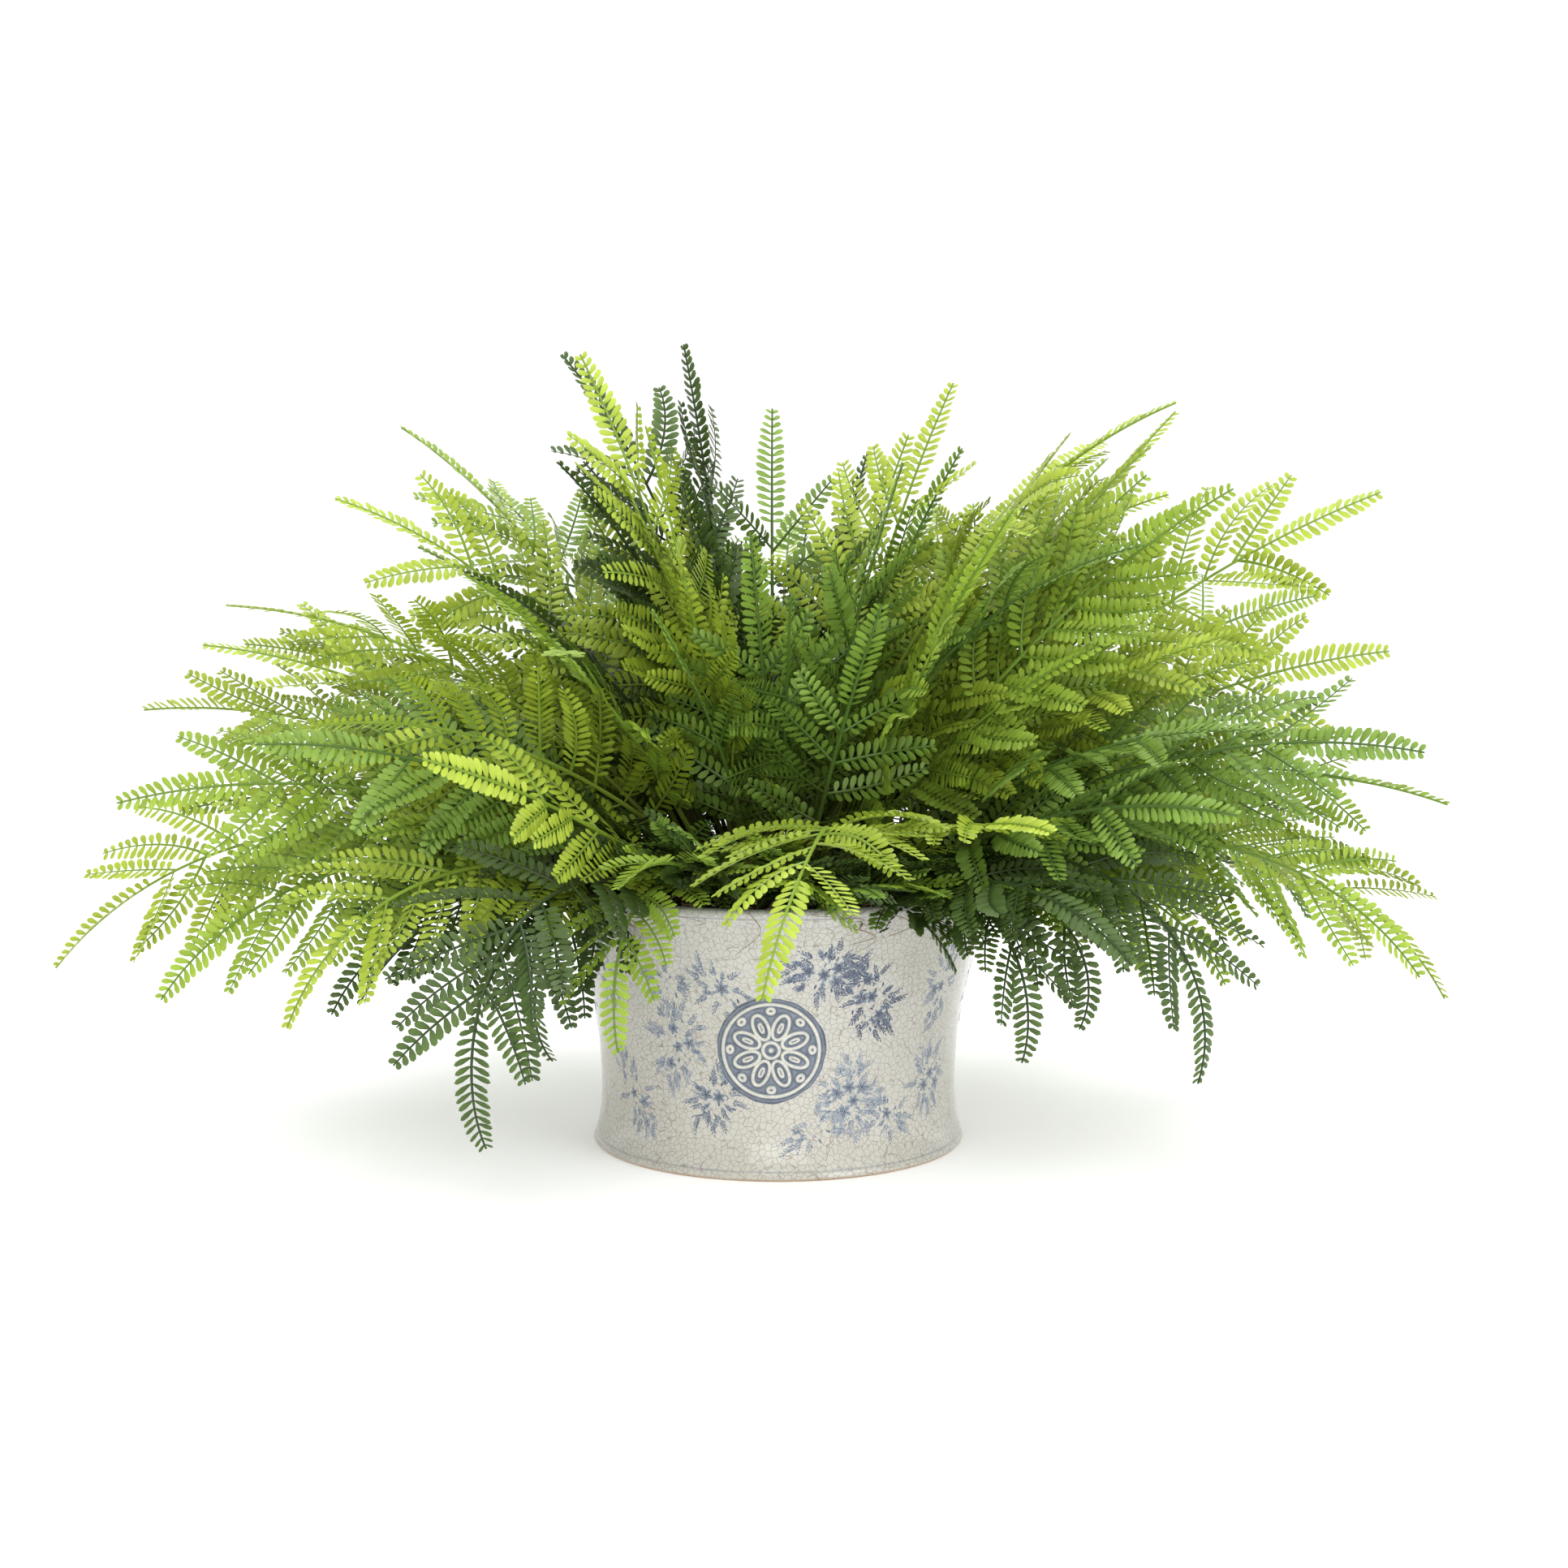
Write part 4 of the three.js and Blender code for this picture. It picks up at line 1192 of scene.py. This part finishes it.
make_fronds()
make_fillers("companion_fronds", companion_rows())
make_fillers("inner_fronds", inner_rows())
place(make_bowl(), "crackle_glaze", "planter_bowl")
place(medallion("medallion_front", -2), "crackle_glaze")
place(medallion("medallion_back", 178), "crackle_glaze")
place(make_sprays(), "crackle_glaze")
place(rough_disc("soil_bed", 118.0, soil_height, 9, 0.7, earth, 3, 136.0), "soil", "potting_soil")
place(rough_disc("root_crown", CROWN_RADIUS, crown_height, 13, 1.3, root, 4, SOIL_TOP + 0.4), "crown",
      "fern_crown")
place(make_moss_bed(), "moss", "moss_cushion")
place(make_fibres(), "moss")

# ---- the stage ----

CAMERA = {"place": (0.0035, -1.63, 0.406), "lens": 62.98, "pitch": 6.7}  # metres, millimetres, degrees down
# name: [place, what it is aimed at, size, power in watts]
LIGHTS = {
    "key_light": [(-0.2, -2.1, 2.4), (0, 0, 0.2), (1.6, 1.6), 27],
    "fill_light": [(1.7, -1.6, 1.5), (0, 0, 0.2), (1.6, 1.6), 26],
    "front_panel": [(0.0, -2.7, 0.3), (0, 0, 0.15), (1.8, 0.7), 11],
    "top_light": [(0.1, 0.3, 2.6), (0, 0, 0.2), (1.8, 1.8), 34],
}
WHITE = (1, 1, 1, 1)


def make_floor():
    """A pale floor that runs up into a backdrop behind: a straight, a quarter circle and a straight."""
    turn = np.radians(np.linspace(0, 90, 25))
    run = np.concatenate([[-9.0], 4.0 + 2.5 * np.sin(turn), [6.5]])
    rise = np.concatenate([[0.0], 2.5 - 2.5 * np.cos(turn), [7.0]])
    wide = np.array([-11.0, 11.0])
    points = np.stack([np.broadcast_to(wide, (len(run), 2)), np.broadcast_to(run[:, None], (len(run), 2)),
                       np.broadcast_to(rise[:, None], (len(run), 2))], axis=-1).reshape(-1, 3)
    material, tree, shader = new_material("studio_paper", roughness=0.9, specular_ior_level=0.1)
    grain = ranged(tree, noise(tree, object_coordinates(tree), 3.0, 2), 0.3, 0.7, 0.0, 1.0)
    feed(tree, shader, {"Base Color": mixed(tree, grain, (0.86, 0.86, 0.855), (0.875, 0.875, 0.87)),
                        "Emission Color": WHITE, "Emission Strength": 0.3})
    floor = new_piece("studio_floor", points / MM, [grid_faces(len(run), 2)], material)
    floor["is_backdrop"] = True


def add_light(name, place_at, aim, size, power):
    """A rectangular light that faces what it is aimed at."""
    data = bpy.data.lights.new(name, "AREA")
    data.shape, data.size, data.size_y, data.energy = "RECTANGLE", size[0], size[1], power
    light = bpy.data.objects.new(name, data)
    bpy.context.scene.collection.objects.link(light)
    x, y, z = np.array(aim) - np.array(place_at)
    light.location = place_at
    light.rotation_euler = (math.pi / 2 - math.atan2(-z, math.hypot(x, y)), 0, math.atan2(-x, y))


def make_studio():
    scene = bpy.context.scene
    world = bpy.data.worlds.new("studio_air")
    world.use_nodes = True
    feed(world.node_tree, world.node_tree.nodes["Background"], {"Color": WHITE, "Strength": 0.8})
    scene.world = world
    for name, (place_at, aim, size, power) in LIGHTS.items():
        add_light(name, place_at, aim, size, power)
    camera = bpy.data.objects.new("camera", bpy.data.cameras.new("camera"))
    scene.collection.objects.link(camera)
    camera.data.lens = CAMERA["lens"]
    camera.location = CAMERA["place"]
    camera.rotation_euler = (math.radians(90 - CAMERA["pitch"]), 0, 0)
    scene.camera = camera
    scene.view_settings.view_transform = "Standard"


make_floor()
make_studio()

[[list(map(float, corner)) for corner in box] for box in (CAD_BOX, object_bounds())]
